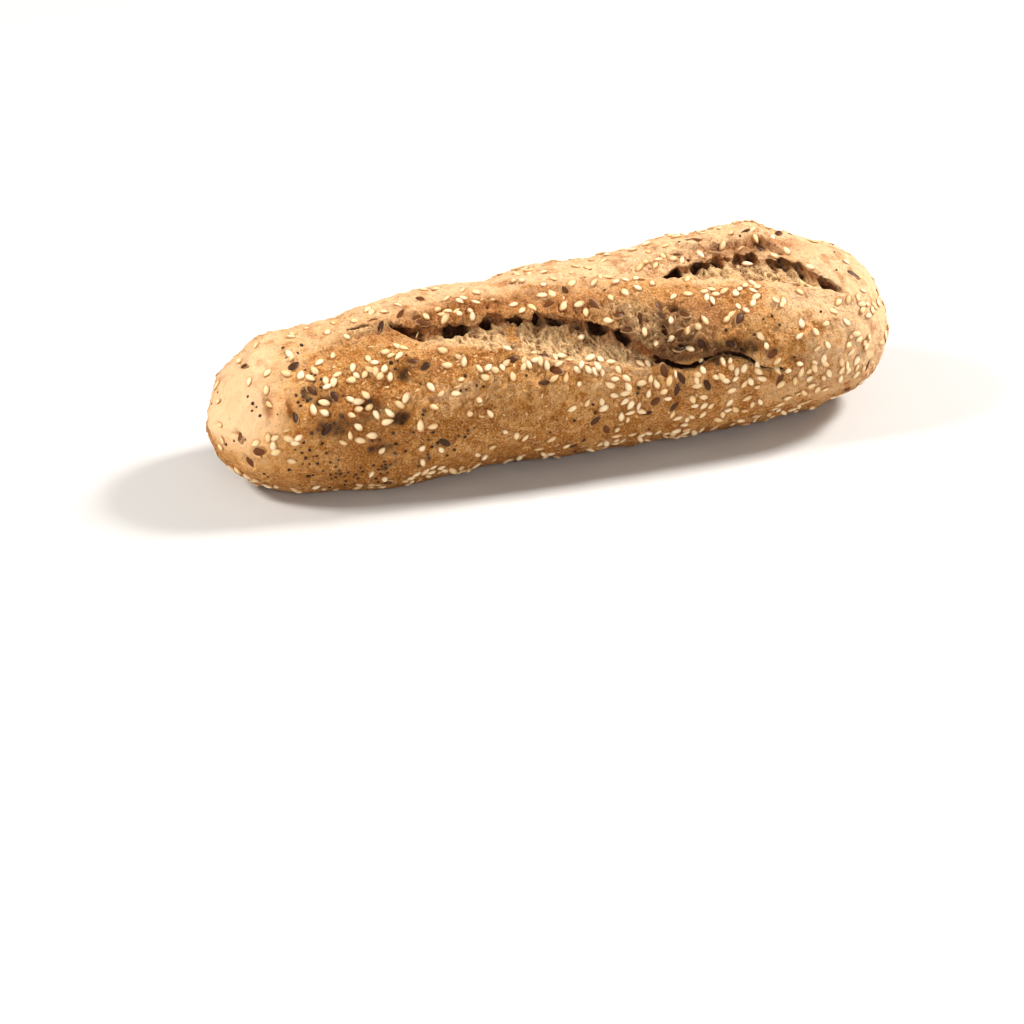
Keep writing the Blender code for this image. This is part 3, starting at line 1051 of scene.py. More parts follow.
@dataclass(frozen=True)
class SeedCoat:
    """A seed's coat: its plain and darker colours, those of its rim and tip, its gloss and its grain."""

    name: str
    plain: Colour
    other: Colour
    rim: Colour
    tip: Colour
    roughness: float
    specular: float
    grain: float
    grain_height: float
    rim_start: float = 0.6
    tip_start: float = 0.62

    def material(self) -> Material:
        """The coat, which reads the mesh's tint, rim and along values.

        Returns:
            The material.
        """
        material, wire, shader = new_material(self.name)
        where = wire.add("ShaderNodeTexCoord").outputs["Object"]
        mottle = wire.noise(where, self.grain, 2.0)
        coat = wire.blend(wire.attribute("tint"), self.plain, self.other)
        coat = wire.blend(wire.between(mottle, 0.45, 0.75, 0.0, 0.3), coat, self.other)
        # The rim colour runs round a seed's outline in plan: on sesame partly painted contact shade, on flax
        # partly a painted highlight.
        for value, start, most, over in (
            ("rim", self.rim_start, 0.92, self.rim),
            ("along", self.tip_start, 0.8, self.tip),
        ):
            share = wire.between(wire.attribute(value), start, 1.0, 0.0, most)
            coat = wire.blend(share, coat, over)
        dress(wire, shader, coat, self.roughness, self.specular, wire.bumps(mottle, self.grain_height))
        return material


def smooth_body(name: str, shape: Shape, material: Material) -> Object:
    """Writes one of the loaf's own bodies and sets it in the frame.

    Args:
        name: The piece's name.
        shape: Its mesh.
        material: Its finish.

    Returns:
        The piece.
    """
    made = shape.write(name, material)
    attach(made, BODY)
    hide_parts(LOAF)
    return made


class BakeAndPaintedLight(Enum):
    """The crust's colourings: the bake and the tears, with painted light and shade among them. The values
    name the mesh's attributes.
    """

    PALE = "pale"
    DARK = "dark"
    TOAST = "toast"
    CRUMB = "crumb"


BAKES_AND_PAINTED_LIGHT: Mapping[BakeAndPaintedLight, tuple[Patch, ...]] = {
    # Paler on the top and at both ends: partly the crust's own paler bake, partly painted light where the
    # lamps fall most.
    BakeAndPaintedLight.PALE: patch_rows(
        (0, 108, 200, 44, 0.78), (-94, 46, 15, 62, 1.1), (96, 40, 24, 80, 1.2), (66, 46, 15, 14, 0.45),
        (36, 98, 50, 22, 0.5), (-36, 22, 11, 14, 0.55), (-12, 26, 16, 7, 0.1), (-6, 12, 22, 16, 0.28),
        (54, -4, 36, 32, 0.36),
    ),
    # Darker in patches: partly the crust's own darker bake and smudges, partly painted shade in the dents at
    # the left, the crease below the front slash, the pocket near its right end, the line under the fold
    # above the back slash, and along the lower front.
    BakeAndPaintedLight.DARK: patch_rows(
        (-57.5, 26, 3.6, 7, 0.65), (-47.5, 40, 2.6, 6, 0.65), (-50, 14.5, 3.2, 5, 0.6),
        (-56, -5, 4, 5, 0.6), (-69.5, 37, 3, 5, 0.5), (-73, 47, 2.6, 4, 0.45), (-62, 10, 16, 30, 0.18),
        (-46, -20, 14, 16, 0.2), (26, 36, 10, 14, 0.42), (-65, 18, 7, 10, 0.35), (27, 24, 9, 6.5, 1),
        (12, 38, 9, 9, 0.6), (44, 19, 10, 6, 0.9), (29.6, 49.4, 1.2, 1.8, 1.1), (54, 84, 16, 4, 0.4),
        (-22, 74, 22, 6, 0.3), (10, -50, 90, 18, 0.25), (-18, 10, 12, 14, 0.22),
    ),
    # The first two rows darken the two grooves at the left end, partly painted shade; the rest are toasted
    # crust.
    BakeAndPaintedLight.TOAST: patch_rows(
        (-83.6, 40, 1.1, 9, 0.9), (-78.4, 37, 1.3, 7, 0.9), (-26, 76, 24, 9, 1.2), (4, 62, 14, 9, 1),
        (57, 85, 17, 6, 1), (40, 42, 9, 10, 0.5), (32, 40, 12, 16, 0.9),
    ),
    BakeAndPaintedLight.CRUMB: patch_rows(
        (19, 44, 6, 10, 0.9), (27, 32, 10, 15, 0.8), (14, 56, 6, 5, 0.55), (-52, 80, 8, 4, 0.55),
        (70, 50, 6, 4, 0.5),
    ),
}


@dataclass
class Crust:
    """The baked crust, one closed grid wrapped on the dough. It sinks to a trench under each torn crumb."""

    dough: Dough
    relief: Relief
    rings: int = 430
    sides: int = 227
    crowding: float = 0.38
    crowded_angle: float = 44.0
    seam: float = 10.5
    end_inset: float = 6.0
    trench_reach: float = 8.0
    trench_depth: float = 8.0
    pale_everywhere: float = 0.14
    lip_bloom: float = 0.40
    bloom_off: float = 1.0
    bloom_reach: float = 2.2
    bloom_spans: Span = (1.5, 5.0)
    in_trench: Span = (0.02, 0.2)
    plain_wall: float = 0.5

    def baked(self, bake: BakeAndPaintedLight, x: Array, angle: Array) -> Array:
        """How much of one colouring the crust has, painted light and shade included.

        Args:
            bake: The colouring.
            x: Places along X.
            angle: Angles round the loaf.

        Returns:
            A share from 0 to 1 for each place.
        """
        share = sum(patch.at(x, angle) for patch in BAKES_AND_PAINTED_LIGHT[bake])
        if bake is BakeAndPaintedLight.PALE:
            share = share + self.pale_everywhere
            for slash in self.dough.slashes:
                across, _, _ = self.dough.slash_at(slash, x, angle)
                lower, upper = slash.edge(1, x), slash.edge(2, x)
                bloom = hump(across - lower + self.bloom_off, self.bloom_reach)
                bloom = bloom * ramp(upper - lower, *self.bloom_spans)
                share = share + self.lip_bloom * bloom
        return np.clip(share, 0.0, 1.0)

    def looks(self, points: Array, x: Array, angle: Array) -> dict[str, Array]:
        """The values that the finish reads, before any tear.

        Args:
            points: Places on the smooth crust.
            x: Their places along X.
            angle: Their angles round the loaf.

        Returns:
            The values by name. The one called across runs round the loaf, in metres.
        """
        values = {bake.value: self.baked(bake, x, angle) for bake in BakeAndPaintedLight}
        values["dark"] = values["dark"] + self.relief.stained(points)
        values["smooth"] = self.relief.smoothness(x, angle)
        values["across"] = np.radians(angle) * self.dough.girths[3] * MM
        return values

    def from_slash(self, slash: Slash, x: Array, across: Array) -> Array:
        """The distance from a slash's middle line, rounded off round its ends."""
        past = np.maximum(np.maximum(slash.start + self.end_inset - x, x - slash.end + self.end_inset), 0.0)
        return np.hypot(across, past)

    def shape(self) -> Shape:
        """The crust's mesh.

        Returns:
            The mesh, with the values that the finish reads.
        """
        ring = np.linspace(-1.0, 1.0, self.rings + 2)[1:-1]
        side = np.arange(self.sides) * 360.0 / self.sides
        run, angle = flat_grid(ring, side)
        run = np.concatenate((run, (-1.0, 1.0)))
        angle = np.concatenate((angle, (0.0, 0.0)))
        angle = angle - self.crowding * np.degrees(np.sin(np.radians(turned(angle, self.crowded_angle))))
        points, out = self.dough.skin(run, angle)
        x = points[:, 0]
        height = self.relief.height(self.dough, points, x, angle)
        values = self.looks(points, x, angle)
        trench = np.zeros(len(points))
        for slash in self.dough.slashes:
            across, _, _ = self.dough.slash_at(slash, x, angle)
            trench += ramp(-self.from_slash(slash, x, across), -self.seam, -self.trench_reach)
        points = points + (height - self.trench_depth * trench)[:, None] * out
        points[:, 2] = np.maximum(points[:, 2], 0.0)
        first = np.arange(self.rings - 1)[:, None] * self.sides + np.arange(self.sides)
        beside = np.roll(first, -1, axis=1)
        quads = np.stack((first, beside, beside + self.sides, first + self.sides), axis=-1).reshape(-1, 4)
        left, right = self.rings * self.sides, self.rings * self.sides + 1
        rim = np.arange(self.sides)
        far = rim + (self.rings - 1) * self.sides
        fans = [np.stack((np.roll(rim, -1), rim, np.full(self.sides, left)), -1)]
        fans.append(np.stack((far, np.roll(far, -1), np.full(self.sides, right)), -1))
        # Crust sunk into a trench takes the crumb's colour and its painted depth shade.
        in_trench = ramp(trench, *self.in_trench)
        values["dark"] = np.clip(values["dark"], 0.0, 1.0)
        values["crumb"] = np.maximum(values["crumb"], in_trench)
        plain = np.full(len(points), self.plain_wall)
        values |= {"wall": plain, "deep": in_trench, "edge": np.zeros(len(points))}
        return Shape(self.dough.in_metres(points), quads, np.concatenate(fans), values)

    def build(self, material: Material) -> Object:
        """The crust as a dressed piece."""
        return smooth_body("crust", self.shape(), material)


@dataclass
class TornCrumb:
    """The crumb that a slash lays open, with the lips round it, as a closed body let into the crust.

    It is worked out on a lattice of place along X, distance across the slash and height over the crust.
    """

    crust: Crust
    slash: Slash
    cell: float = 0.285
    tuck: float = 1.2
    tuck_depth: float = 0.8
    top: float = 3.5
    bottom: float = -7.0
    clear: float = 3.0
    span_slack: float = 0.4
    full_span: float = 5.0
    least_strength: float = 0.3
    wide_spans: Span = (4.2, 8.6)
    body_depth: float = -8.5
    deepest: float = -6.5
    closed: Span = (0.3, 1.1)
    crease_spans: Span = (2.4, 4.2)
    cave_reach: float = 0.95
    cave_loss: float = 0.2
    cave_waver: float = 0.5
    cave_wavelength: float = 2.7
    arch_middle: float = 0.6
    arch_spans: Span = (1.0, 4.0)
    crust_step: float = 0.7
    step_edge: Span = (-0.1, 0.4)
    bridge_share: float = 0.7
    bridge_start: float = 0.55
    bench_share: float = 0.22
    bench_least: float = 0.35
    bench_end: float = 0.62
    drop_share: float = 0.7
    drop_least: float = 0.14
    drop_ends: Span = (0.5, 1.1)
    undercut_share: float = 0.32
    undercut: float = 0.5
    undercut_least: float = 0.12
    lip_thickness: Span = (0.35, 1.2)
    rag: Pairs = ((6.0, 0.9), (2.6, 1.0), (1.2, 0.6), (0.7, 0.25))
    low_rag: Pairs = ((5.0, 0.7), (2.2, 0.7), (1.0, 0.4))
    rag_span: float = 4.0
    rag_least: float = 0.15
    low_rag_least: float = 0.1
    rag_squeeze: float = 1.3
    rounding: float = 0.3
    bubble_rounding: float = 0.3
    lip_rounding: float = 0.35
    pores: Pairs = ((3.4, 0.75), (1.6, 0.45))
    pore_stretch: float = 1.5
    pore_bend: float = 1.5
    pore_bend_wavelength: float = 3.2
    wall_level: float = 0.75
    rough_edge: Span = (-0.2, 0.8)
    crumb_top: float = -0.45
    top_rounding: float = 0.5
    crumble: Pairs = ((4.6, 0.6), (2.0, 0.4), (0.9, 0.2))
    bubble_count: int = 70
    bubble_inset: float = 8.0
    bubble_least_span: float = 2.0
    bubble_sizes: Span = (0.35, 0.95)
    bubble_lengths: Span = (0.8, 1.8)
    bubble_start: float = 0.05
    bubble_drop: float = 0.5
    hollow_drop: float = 0.6
    hollow_share: float = 0.52
    torn_past_lip: Span = (-0.2, 0.3)
    torn_sunk: Span = (0.12, 0.5)
    edge_across: Span = (-1.6, -0.2)
    edge_spans: Span = (0.8, 4.0)
    edge_sunk: Span = (0.05, 0.4)
    edge_fade: Span = (1.8, 3.4)
    edge_share: float = 0.9
    # Where the painted shade under the upper lip rises, across the opening.
    lip_shade_across: Span = (0.42, 0.9)
    deep_spans: Span = (2.0, 5.0)
    deep_least: float = 0.35
    deep_start: float = 2.2
    deep_full: float = 5.0
    # How strong the painted shade under the upper lip is, partly the crumb's browner colour there.
    brown_and_lip_shade: float = 0.85

    def axes(self) -> tuple[Array, Array, Array]:
        """The lattice's axes.

        Returns:
            Its stations along X, across the slash and in height.
        """
        inset = self.crust.seam + self.tuck - self.crust.end_inset
        half = self.crust.seam + self.tuck
        return (
            np.arange(self.slash.start - inset, self.slash.end + inset, self.cell),
            np.arange(-half, half + self.cell, self.cell),
            np.arange(self.bottom, self.top, self.cell),
        )

    def angle_at(self, x: Array, across: Array) -> Array:
        """The angle round the loaf at a distance across the slash."""
        return self.slash.column(1, x) + across * self.crust.dough.spread_of(self.slash, x)

    def surface(self, x: Array, across: Array) -> Array:
        """The height of the untorn crust's relief, tucked under the crust past the seam.

        Args:
            x: Places along X.
            across: Distances across the slash.

        Returns:
            The height at each place.
        """
        angle = self.angle_at(x, across)
        points, _ = self.crust.dough.skin(self.crust.dough.run_at(x), angle)
        height = self.crust.relief.height(self.crust.dough, points, x, angle)
        far = self.crust.from_slash(self.slash, x, across)
        return height - self.tuck_depth * ramp(far, self.crust.seam, self.crust.seam + self.tuck)

    def span(self, x: Array) -> Array:
        """The distance between the torn edges."""
        return np.maximum(self.slash.edge(2, x) - self.slash.edge(1, x), 0.0)

    def lower_lip(self, x: Array, across: Array) -> Array:
        """Where the crust ends on the slash's lower side.

        Args:
            x: Places along X.
            across: Distances across the slash.

        Returns:
            The distance across at each place.
        """
        level = np.stack((x, across, np.zeros(len(x))), axis=-1)
        ragged = layered(level, self.low_rag, self.slash.seed + 3.0)
        strength = np.clip(self.span(x) / self.rag_span, self.low_rag_least, 1.0)
        return self.slash.edge(1, x) + strength * ragged

    def cave(self, x: Array) -> Array:
        """How far the slash gapes under its upper lip. A narrow crease gapes all along.

        Args:
            x: Places along X.

        Returns:
            A share from 0 to 1 for each place.
        """
        hollows = self.slash.hollows
        gaping = sum(hump(x - hollow.place, self.cave_reach * hollow.length) for hollow in hollows)
        waves = lumps(flat_places(x, 0.0 * x), self.cave_wavelength, self.slash.seed)
        gaping = gaping - self.cave_loss + self.cave_waver * waves
        narrow, wide = self.crease_spans
        return np.clip(gaping + ramp(-self.span(x), -wide, -narrow), 0.0, 1.0)

    def upper_lip(self, x: Array) -> Array:
        """The distance across at which crust ends on the upper side. It arches over gaps."""
        arch = self.slash.arch * (self.cave(x) - self.arch_middle)
        return self.slash.edge(2, x) + arch * ramp(self.span(x), *self.arch_spans)

    def walls(self, x: Array, across: Array) -> Array:
        """The crumb's thin walls, as a mean over the sizes of pore.

        Args:
            x: Places along X.
            across: Distances across the slash.

        Returns:
            A value for each place: 1 on a wall and 0 in a pore.
        """
        bent = flat_places(x, across / self.pore_stretch)
        bent = warped(bent, self.pore_bend_wavelength, self.slash.seed, self.pore_bend)
        depths = sum(deep for _, deep in self.pores)
        return sum(deep * webs(bent, wave, self.slash.seed + wave) for wave, deep in self.pores) / depths

    def floor(self, x: Array, across: Array) -> Array:
        """The height of the opening's floor, which rises out of the bread past the lower lip.

        Args:
            x: Places along X.
            across: Distances across the slash.

        Returns:
            The height at each place.
        """
        span = self.span(x)
        depth = self.slash.column(3, x)
        past = across - self.lower_lip(x, across)
        strength = np.clip(span / self.full_span, self.least_strength, 1.0)
        wide = ramp(span, *self.wide_spans)
        t = np.clip(past / (span + self.span_slack), 0.0, 1.5)
        cave = self.cave(x)
        bridge = self.bridge_share * (1.0 - cave) * wide * ramp(t, self.bridge_start, 1.0)
        step = self.crust_step * ramp(past, *self.step_edge) * (1.0 - bridge)
        bench = step + self.bench_share * depth * t * wide * at_least(self.bench_least, cave)
        drop = self.drop_share * depth * ramp(t, self.bench_end * wide, within(self.drop_ends, wide))
        crumbly = layered(flat_places(x, across), self.crumble, self.slash.seed + 9.0)
        depths = sum(deep for _, deep in self.pores)
        rough = crumbly + depths * (self.walls(x, across) - self.wall_level)
        rough = strength * ramp(past, *self.rough_edge) * rough
        inside = -strength * bench - at_least(self.drop_least, cave) * drop + rough
        top = self.crumb_top * ramp(past, 0.0, self.rough_edge[1]) * wide
        shut = ramp(-span, -self.closed[1], -self.closed[0])
        inside = soft_least(inside, top, self.top_rounding) + self.clear * shut
        return np.where(past < 0.0, np.minimum(-2.0 * past, self.clear), inside)

    def upper_wall(self, x: Array, height: Array) -> Array:
        """How far across the slash its upper wall stands, under the overhanging lip.

        Args:
            x: Places along X.
            height: Heights over the crust.

        Returns:
            The distance across at each place.
        """
        span = self.span(x)
        depth = self.slash.column(3, x)
        ragged = layered(flat_places(x, self.rag_squeeze * height), self.rag, self.slash.seed)
        ragged = self.slash.rag * np.clip(span / self.rag_span, self.rag_least, 1.0) * ragged
        under = (self.undercut + self.undercut_share * depth) * at_least(self.undercut_least, self.cave(x))
        return self.upper_lip(x) + ragged + under * ramp(-height, *self.lip_thickness)

    def bubbles(self) -> Array:
        """The hollows and a draw of small bubbles.

        Returns:
            Rows of the middle and the half-sizes along X, across and in height.
        """
        rows = []
        for hollow in self.slash.hollows:
            middle = (hollow.place, hollow.across, -self.hollow_drop * hollow.depth)
            rows.append((*middle, hollow.length, hollow.width, self.hollow_share * hollow.depth))
        draw = np.random.default_rng(int(self.slash.seed))
        length = self.slash.end - self.slash.start - 2.0 * self.bubble_inset
        for share, over, size, squash in draw.random((self.bubble_count, 4)):
            x = np.float64(self.slash.start + self.bubble_inset + share * length)
            span, depth = float(self.span(x)), float(self.slash.column(3, x))
            radius = within(self.bubble_sizes, size**2)
            if span < self.bubble_least_span:
                continue
            across = float(self.slash.edge(1, x)) + span * (self.bubble_start + over)
            height = -self.crust_step - self.bench_share * depth * over - self.bubble_drop * radius
            rows.append((x, across, height, radius * within(self.bubble_lengths, squash), radius, radius))
        return np.array(rows)

    def field(self) -> tuple[Array, tuple[Array, Array, Array]]:
        """The body as a field on the lattice.

        Returns:
            The field, below nought inside the body, and the lattice's axes.
        """
        axes = self.axes()
        xs, across, heights = axes
        level = flat_grid(xs, across)
        surface = self.surface(*level).reshape(len(xs), len(across))
        solid = heights[None, None, :] - surface[:, :, None]
        floor = self.floor(*level).reshape(surface.shape)
        wall = self.upper_wall(*flat_grid(xs, heights)).reshape(len(xs), len(heights))
        over_floor = heights[None, None, :] - floor[:, :, None]
        torn = soft_least(over_floor, wall[:, None, :] - across[None, :, None], self.rounding)
        ends = np.minimum(xs - self.slash.start, self.slash.end - xs)
        open_to = np.minimum(ends[:, None], heights[None, :] - self.deepest)
        torn = soft_least(torn, open_to[:, None, :], self.rounding)
        for row in self.bubbles():
            middle, half = row[:3], row[3:]
            i, j = (between_ends(axis, middle[k], 2.0 * half[k]) for k, axis in enumerate((xs, across)))
            apart = np.sqrt(
                ((xs[i] - middle[0]) / half[0])[:, None, None] ** 2
                + ((across[j] - middle[1]) / half[1])[None, :, None] ** 2
                + ((heights - middle[2]) / half[2])[None, None, :] ** 2
            )
            hole = (1.0 - apart) * min(half)
            torn[i, j] = -soft_least(-torn[i, j], -hole, self.bubble_rounding)
        return -soft_least(-solid, -torn, self.lip_rounding), axes

    def net(self, values: Array) -> tuple[Array, Array]:
        """The surface where a field crosses nought, as one point in each lattice cell that it crosses.

        Args:
            values: The field on the lattice, below nought inside the body.

        Returns:
            The points, in lattice steps, and the faces, each of four points and facing out of the body.
        """
        inside = values < 0.0
        shape = tuple(size - 1 for size in values.shape)
        total = np.zeros((*shape, 3))
        crossings = np.zeros(shape)
        for axis in range(3):
            one, two = (axis + 1) % 3, (axis + 2) % 3
            for offset in np.ndindex(2, 2):
                start = np.zeros(3, int)
                start[[one, two]] = offset
                low = tuple(slice(s, s + n) for s, n in zip(start, shape))
                end = start + np.eye(3, dtype=int)[axis]
                high = tuple(slice(s, s + n) for s, n in zip(end, shape))
                crossed = inside[low] != inside[high]
                share = values[low] / np.where(crossed, values[low] - values[high], 1.0)
                share = np.where(crossed, share, 0.0)
                place = start * crossed[..., None].astype(float)
                place[..., axis] = share
                total += place
                crossings += crossed
        cells = np.nonzero(crossings)
        number = np.full(shape, -1)
        number[cells] = np.arange(len(cells[0]))
        points = np.stack(cells, axis=-1) + total[cells] / crossings[cells][:, None]
        faces = []
        for axis in range(3):
            keep = [slice(1, n) for n in shape]
            keep[axis] = slice(0, shape[axis])
            low = inside[tuple(keep)]
            keep[axis] = slice(1, shape[axis] + 1)
            at = np.stack(np.nonzero(low != inside[tuple(keep)]), axis=-1)
            steps = np.zeros((4, 3), int)
            steps[:, (axis + 1) % 3], steps[:, (axis + 2) % 3] = (1, 0, 0, 1), (1, 1, 0, 0)
            quads = np.stack([number[tuple((at + step).T)] for step in steps], axis=-1)
            inward = ~low[tuple(at.T)]
            quads[inward] = quads[inward, ::-1]
            faces.append(quads)
        return points, np.concatenate(faces)

    def close(self, points: Array, faces: Array) -> tuple[Array, Array, Array]:
        """Closes the open surface: its rim is carried down and drawn in to a cap.

        Args:
            points: Points as place along X, distance across and height.
            faces: Faces of four points.

        Returns:
            The points with the new ones added, the faces of four and those of three.
        """
        ends = np.stack((faces, np.roll(faces, -1, axis=1)), axis=-1).reshape(-1, 2)
        size = len(points)
        there, count = np.unique(ends @ (size, 1), return_counts=True)
        back, back_count = np.unique(ends @ (1, size), return_counts=True)
        match = np.minimum(np.searchsorted(back, there), len(back) - 1)
        unmet = count > np.where(back[match] == there, back_count[match], 0)
        rim = np.stack(np.divmod(there[unmet], size), axis=-1)
        ring, place = np.unique(rim, return_inverse=True)
        first, second = place.reshape(-1, 2).T
        lowered = points[ring].copy()
        lowered[:, 2] = self.body_depth
        spine = lowered.copy()
        reach = self.crust.seam
        spine[:, 0] = np.clip(spine[:, 0], points[:, 0].min() + reach, points[:, 0].max() - reach)
        spine[:, 1] = 0.0
        middle = np.array([[points[:, 0].mean(), 0.0, self.body_depth]])
        down, deep, heart = size, size + len(ring), size + 2 * len(ring)
        walls = np.stack((rim[:, 0], down + first, down + second, rim[:, 1]), axis=-1)
        cap = np.stack((down + first, deep + first, deep + second, down + second), axis=-1)
        fan = np.stack((deep + first, np.full(len(first), heart), deep + second), axis=-1)
        return np.concatenate((points, lowered, spine, middle)), np.concatenate((faces, walls, cap)), fan

    def shape(self) -> Shape:
        """The torn crumb's mesh.

        Returns:
            The mesh, with the values that the finish reads.
        """
        values, axes = self.field()
        points, faces = self.net(values)
        points = np.stack([start[0] + self.cell * points[:, k] for k, start in enumerate(axes)], axis=-1)
        points, faces, fan = self.close(points, faces)
        x, across, height = points.T
        angle = self.angle_at(x, across)
        base, out = self.crust.dough.skin(self.crust.dough.run_at(x), angle)
        sunk = self.surface(x, across) - height
        span, upper = self.span(x), self.upper_lip(x)
        past_lip = ramp(across - self.lower_lip(x, across), *self.torn_past_lip)
        crumb = ramp(sunk, *self.torn_sunk) * np.where(across < upper, past_lip, 1.0)
        lip = self.edge_share * ramp(across - upper, *self.edge_across) * ramp(span, *self.edge_spans)
        under = (across - self.slash.edge(1, x)) / (span + self.span_slack)
        # Painted shade under the upper lip, partly the crumb's browner colour there, added to the dark
        # value.
        brown_and_lip_shade = self.brown_and_lip_shade * crumb * ramp(under, *self.lip_shade_across)
        gape = at_least(self.deep_least, ramp(span, *self.deep_spans))
        looks = self.crust.looks(base, x, angle)
        looks["dark"] = np.clip(looks["dark"] + brown_and_lip_shade, 0.0, 1.0)
        looks["crumb"] = np.maximum(crumb, looks["crumb"])
        looks["across"] = looks["across"] - sunk * MM
        looks["wall"] = self.walls(x, across)
        # The deep value paints shade into the opening's depths, partly the crumb's browner colour there.
        looks["deep"] = ramp(sunk / gape, self.deep_start, self.deep_full)
        looks["edge"] = lip * ramp(sunk, *self.edge_sunk) * (1.0 - ramp(sunk, *self.edge_fade))
        return Shape(self.crust.dough.in_metres(base + height[:, None] * out), faces, fan, looks)

    def build(self, material: Material) -> Object:
        """The torn crumb as a dressed piece."""
        return smooth_body(f"torn_crumb_{self.slash.name}", self.shape(), material)


class SeedKind(Enum):
    """What is strewn on the crust: three kinds of seed, and flakes of bran."""

    FLAX = "flax_seeds"
    SESAME = "sesame_seeds"
    POPPY = "poppy_seeds"
    BRAN = "bran_flakes"


@dataclass(frozen=True)
class Layer:
    """A layer of seeds: where they lie thickest, how many, the room of each and their share elsewhere."""

    patches: tuple[Patch, ...]
    count: int
    spacing: float
    everywhere: float


def layer(*rows: Row, count: int, spacing: float, everywhere: float) -> Layer:
    """A layer of seeds, from its patches' rows."""
    return Layer(patch_rows(*rows), count, spacing, everywhere)


@dataclass(frozen=True)
class Sowing:
    """How one kind is made and strewn: its size, faces, taper, seat in the crust, layers and coat."""

    kind: SeedKind
    slot: str
    size: tuple[float, float, float]
    outline: tuple[int, int]
    taper: float
    lift: float
    sink: float
    tip: float
    uneven: float
    first: Layer | None
    rest: Layer
    coat: SeedCoat


FLAX = Sowing(
    kind=SeedKind.FLAX, slot="flax", size=(4.7, 2.35, 1.1), outline=(12, 6), taper=0.26, lift=0.12,
    sink=0.34, tip=1.6, uneven=0.12,
    first=layer(
        (-64, 30, 18, 26, 0.45), (-40, 86, 20, 14, 0.65), (-12, 34, 14, 7, 0.5), (18, 38, 13, 15, 1),
        (46, 18, 16, 11, 0.8), (24, -4, 22, 12, 0.45), (34, 80, 20, 14, 0.4), (70, 100, 18, 18, 0.3),
        (88, 24, 10, 40, 0.35), (0, 165, 60, 25, 0.25),
        count=44, spacing=6.0, everywhere=0.05,
    ),
    rest=layer(
        (-44, 84, 11, 8, 0.6), (-24, 72, 9, 6, 0.5), (-12, 34, 12, 5, 0.4), (23, 36, 9, 13, 2.2),
        (42, 18, 12, 7, 1.3), (28, -6, 14, 8, 0.6), (34, 82, 14, 8, 0.5), (-40, 160, 50, 20, 0.3),
        count=122, spacing=2.9, everywhere=0.03,
    ),
    coat=SeedCoat(
        # The pale rim is partly a skin of dough round the seed's margin, partly a painted highlight along
        # its outline.
        name="flax_coat", plain=colour(104, 58, 24), other=colour(58, 34, 16), rim=colour(212, 166, 110),
        tip=colour(158, 104, 54), roughness=0.46, specular=0.2, grain=1.1, grain_height=0.05,
        rim_start=0.76,
    ),
)
SESAME = Sowing(
    kind=SeedKind.SESAME, slot="sesame", size=(3.25, 1.84, 0.86), outline=(12, 6), taper=0.24, lift=0.32,
    sink=0.2, tip=1.4, uneven=0.10,
    first=layer(
        (-50, 52, 9, 14, 0.9), (-68, 48, 9, 13, 0.5), (-80, 12, 7, 10, 0.55), (-60, 12, 18, 22, 0.25),
        (-14, 33, 19, 9, 0.95), (-20, 0, 22, 26, 0.12), (15, 4, 11, 26, 0.55), (40, -4, 17, 18, 0.6),
        (67, 0, 18, 24, 0.45), (50, 42, 19, 13, 0.45), (78, 32, 13, 22, 0.38), (30, 76, 15, 14, 0.35),
        (-26, 80, 19, 13, 0.28), (10, -42, 75, 9, 0.5), (35, 122, 50, 18, 0.2),
        (-30, 150, 28, 20, 0.45), (45, 170, 26, 24, 0.45),
        count=116, spacing=4.2, everywhere=0.12,
    ),
    rest=layer(
        (-53, 52, 5, 11, 0.8), (-66, 46, 13, 17, 0.22), (-83, 11, 5, 9, 0.4), (-56, 16, 14, 14, 0.1),
        (-38, -26, 14, 18, 0.12), (-16, 36, 13, 5, 1), (-17, 32, 7, 5, 1), (-2, 27, 7, 5, 1),
        (8, 20, 6, 8, 0.8), (14, 0, 8, 24, 0.3), (34, 4, 11, 7, 0.8), (38, -14, 14, 16, 0.32),
        (66, -4, 16, 20, 0.26), (60, 6, 9, 6, 0.5), (29, 37, 5, 7, 0.6), (52, 42, 16, 14, 0.2),
        (50, 57, 16, 4, 0.8), (80, 30, 12, 22, 0.26), (22, 78, 9, 8, 0.6), (34, 84, 14, 8, 0.2),
        (-4, 82, 14, 20, 0.1), (-30, 78, 10, 8, 0.3), (-72, 90, 10, 20, 0.07), (0, -40, 95, 6, 0.5),
        (35, 122, 50, 18, 0.16), (-30, 150, 28, 20, 0.26), (45, 170, 26, 24, 0.26),
        count=780, spacing=1.5, everywhere=0.02,
    ),
    coat=SeedCoat(
        name="sesame_coat", plain=colour(250, 230, 190), other=colour(234, 198, 140),
        # The rim colour darkens the seed's outline: partly its edge's own tan, partly painted contact shade.
        rim=colour(172, 108, 50), tip=colour(200, 148, 88), roughness=0.42, specular=0.4, grain=0.45,
        grain_height=0.06, rim_start=0.52,
    ),
)
POPPY_CLUSTERS = (
    (-75, 76), (-71.8, 60), (-74.6, 49), (-69.3, 51), (-75, 41), (-69, 38), (-71, 21), (-77, 6),
    (-75, -4.5), (-73, -18), (-67.5, -23), (-61, -21), (-55, -20), (-44.8, -18.5), (-49, 50), (-47.6, 40),
    (-58, 28), (-56.7, -6), (-50, 14.5), (-41.9, 5), (-32.8, 27), (-34, -3), (-41.2, -9), (-88, 45),
    (-60.3, -31), (-67, -40),
)
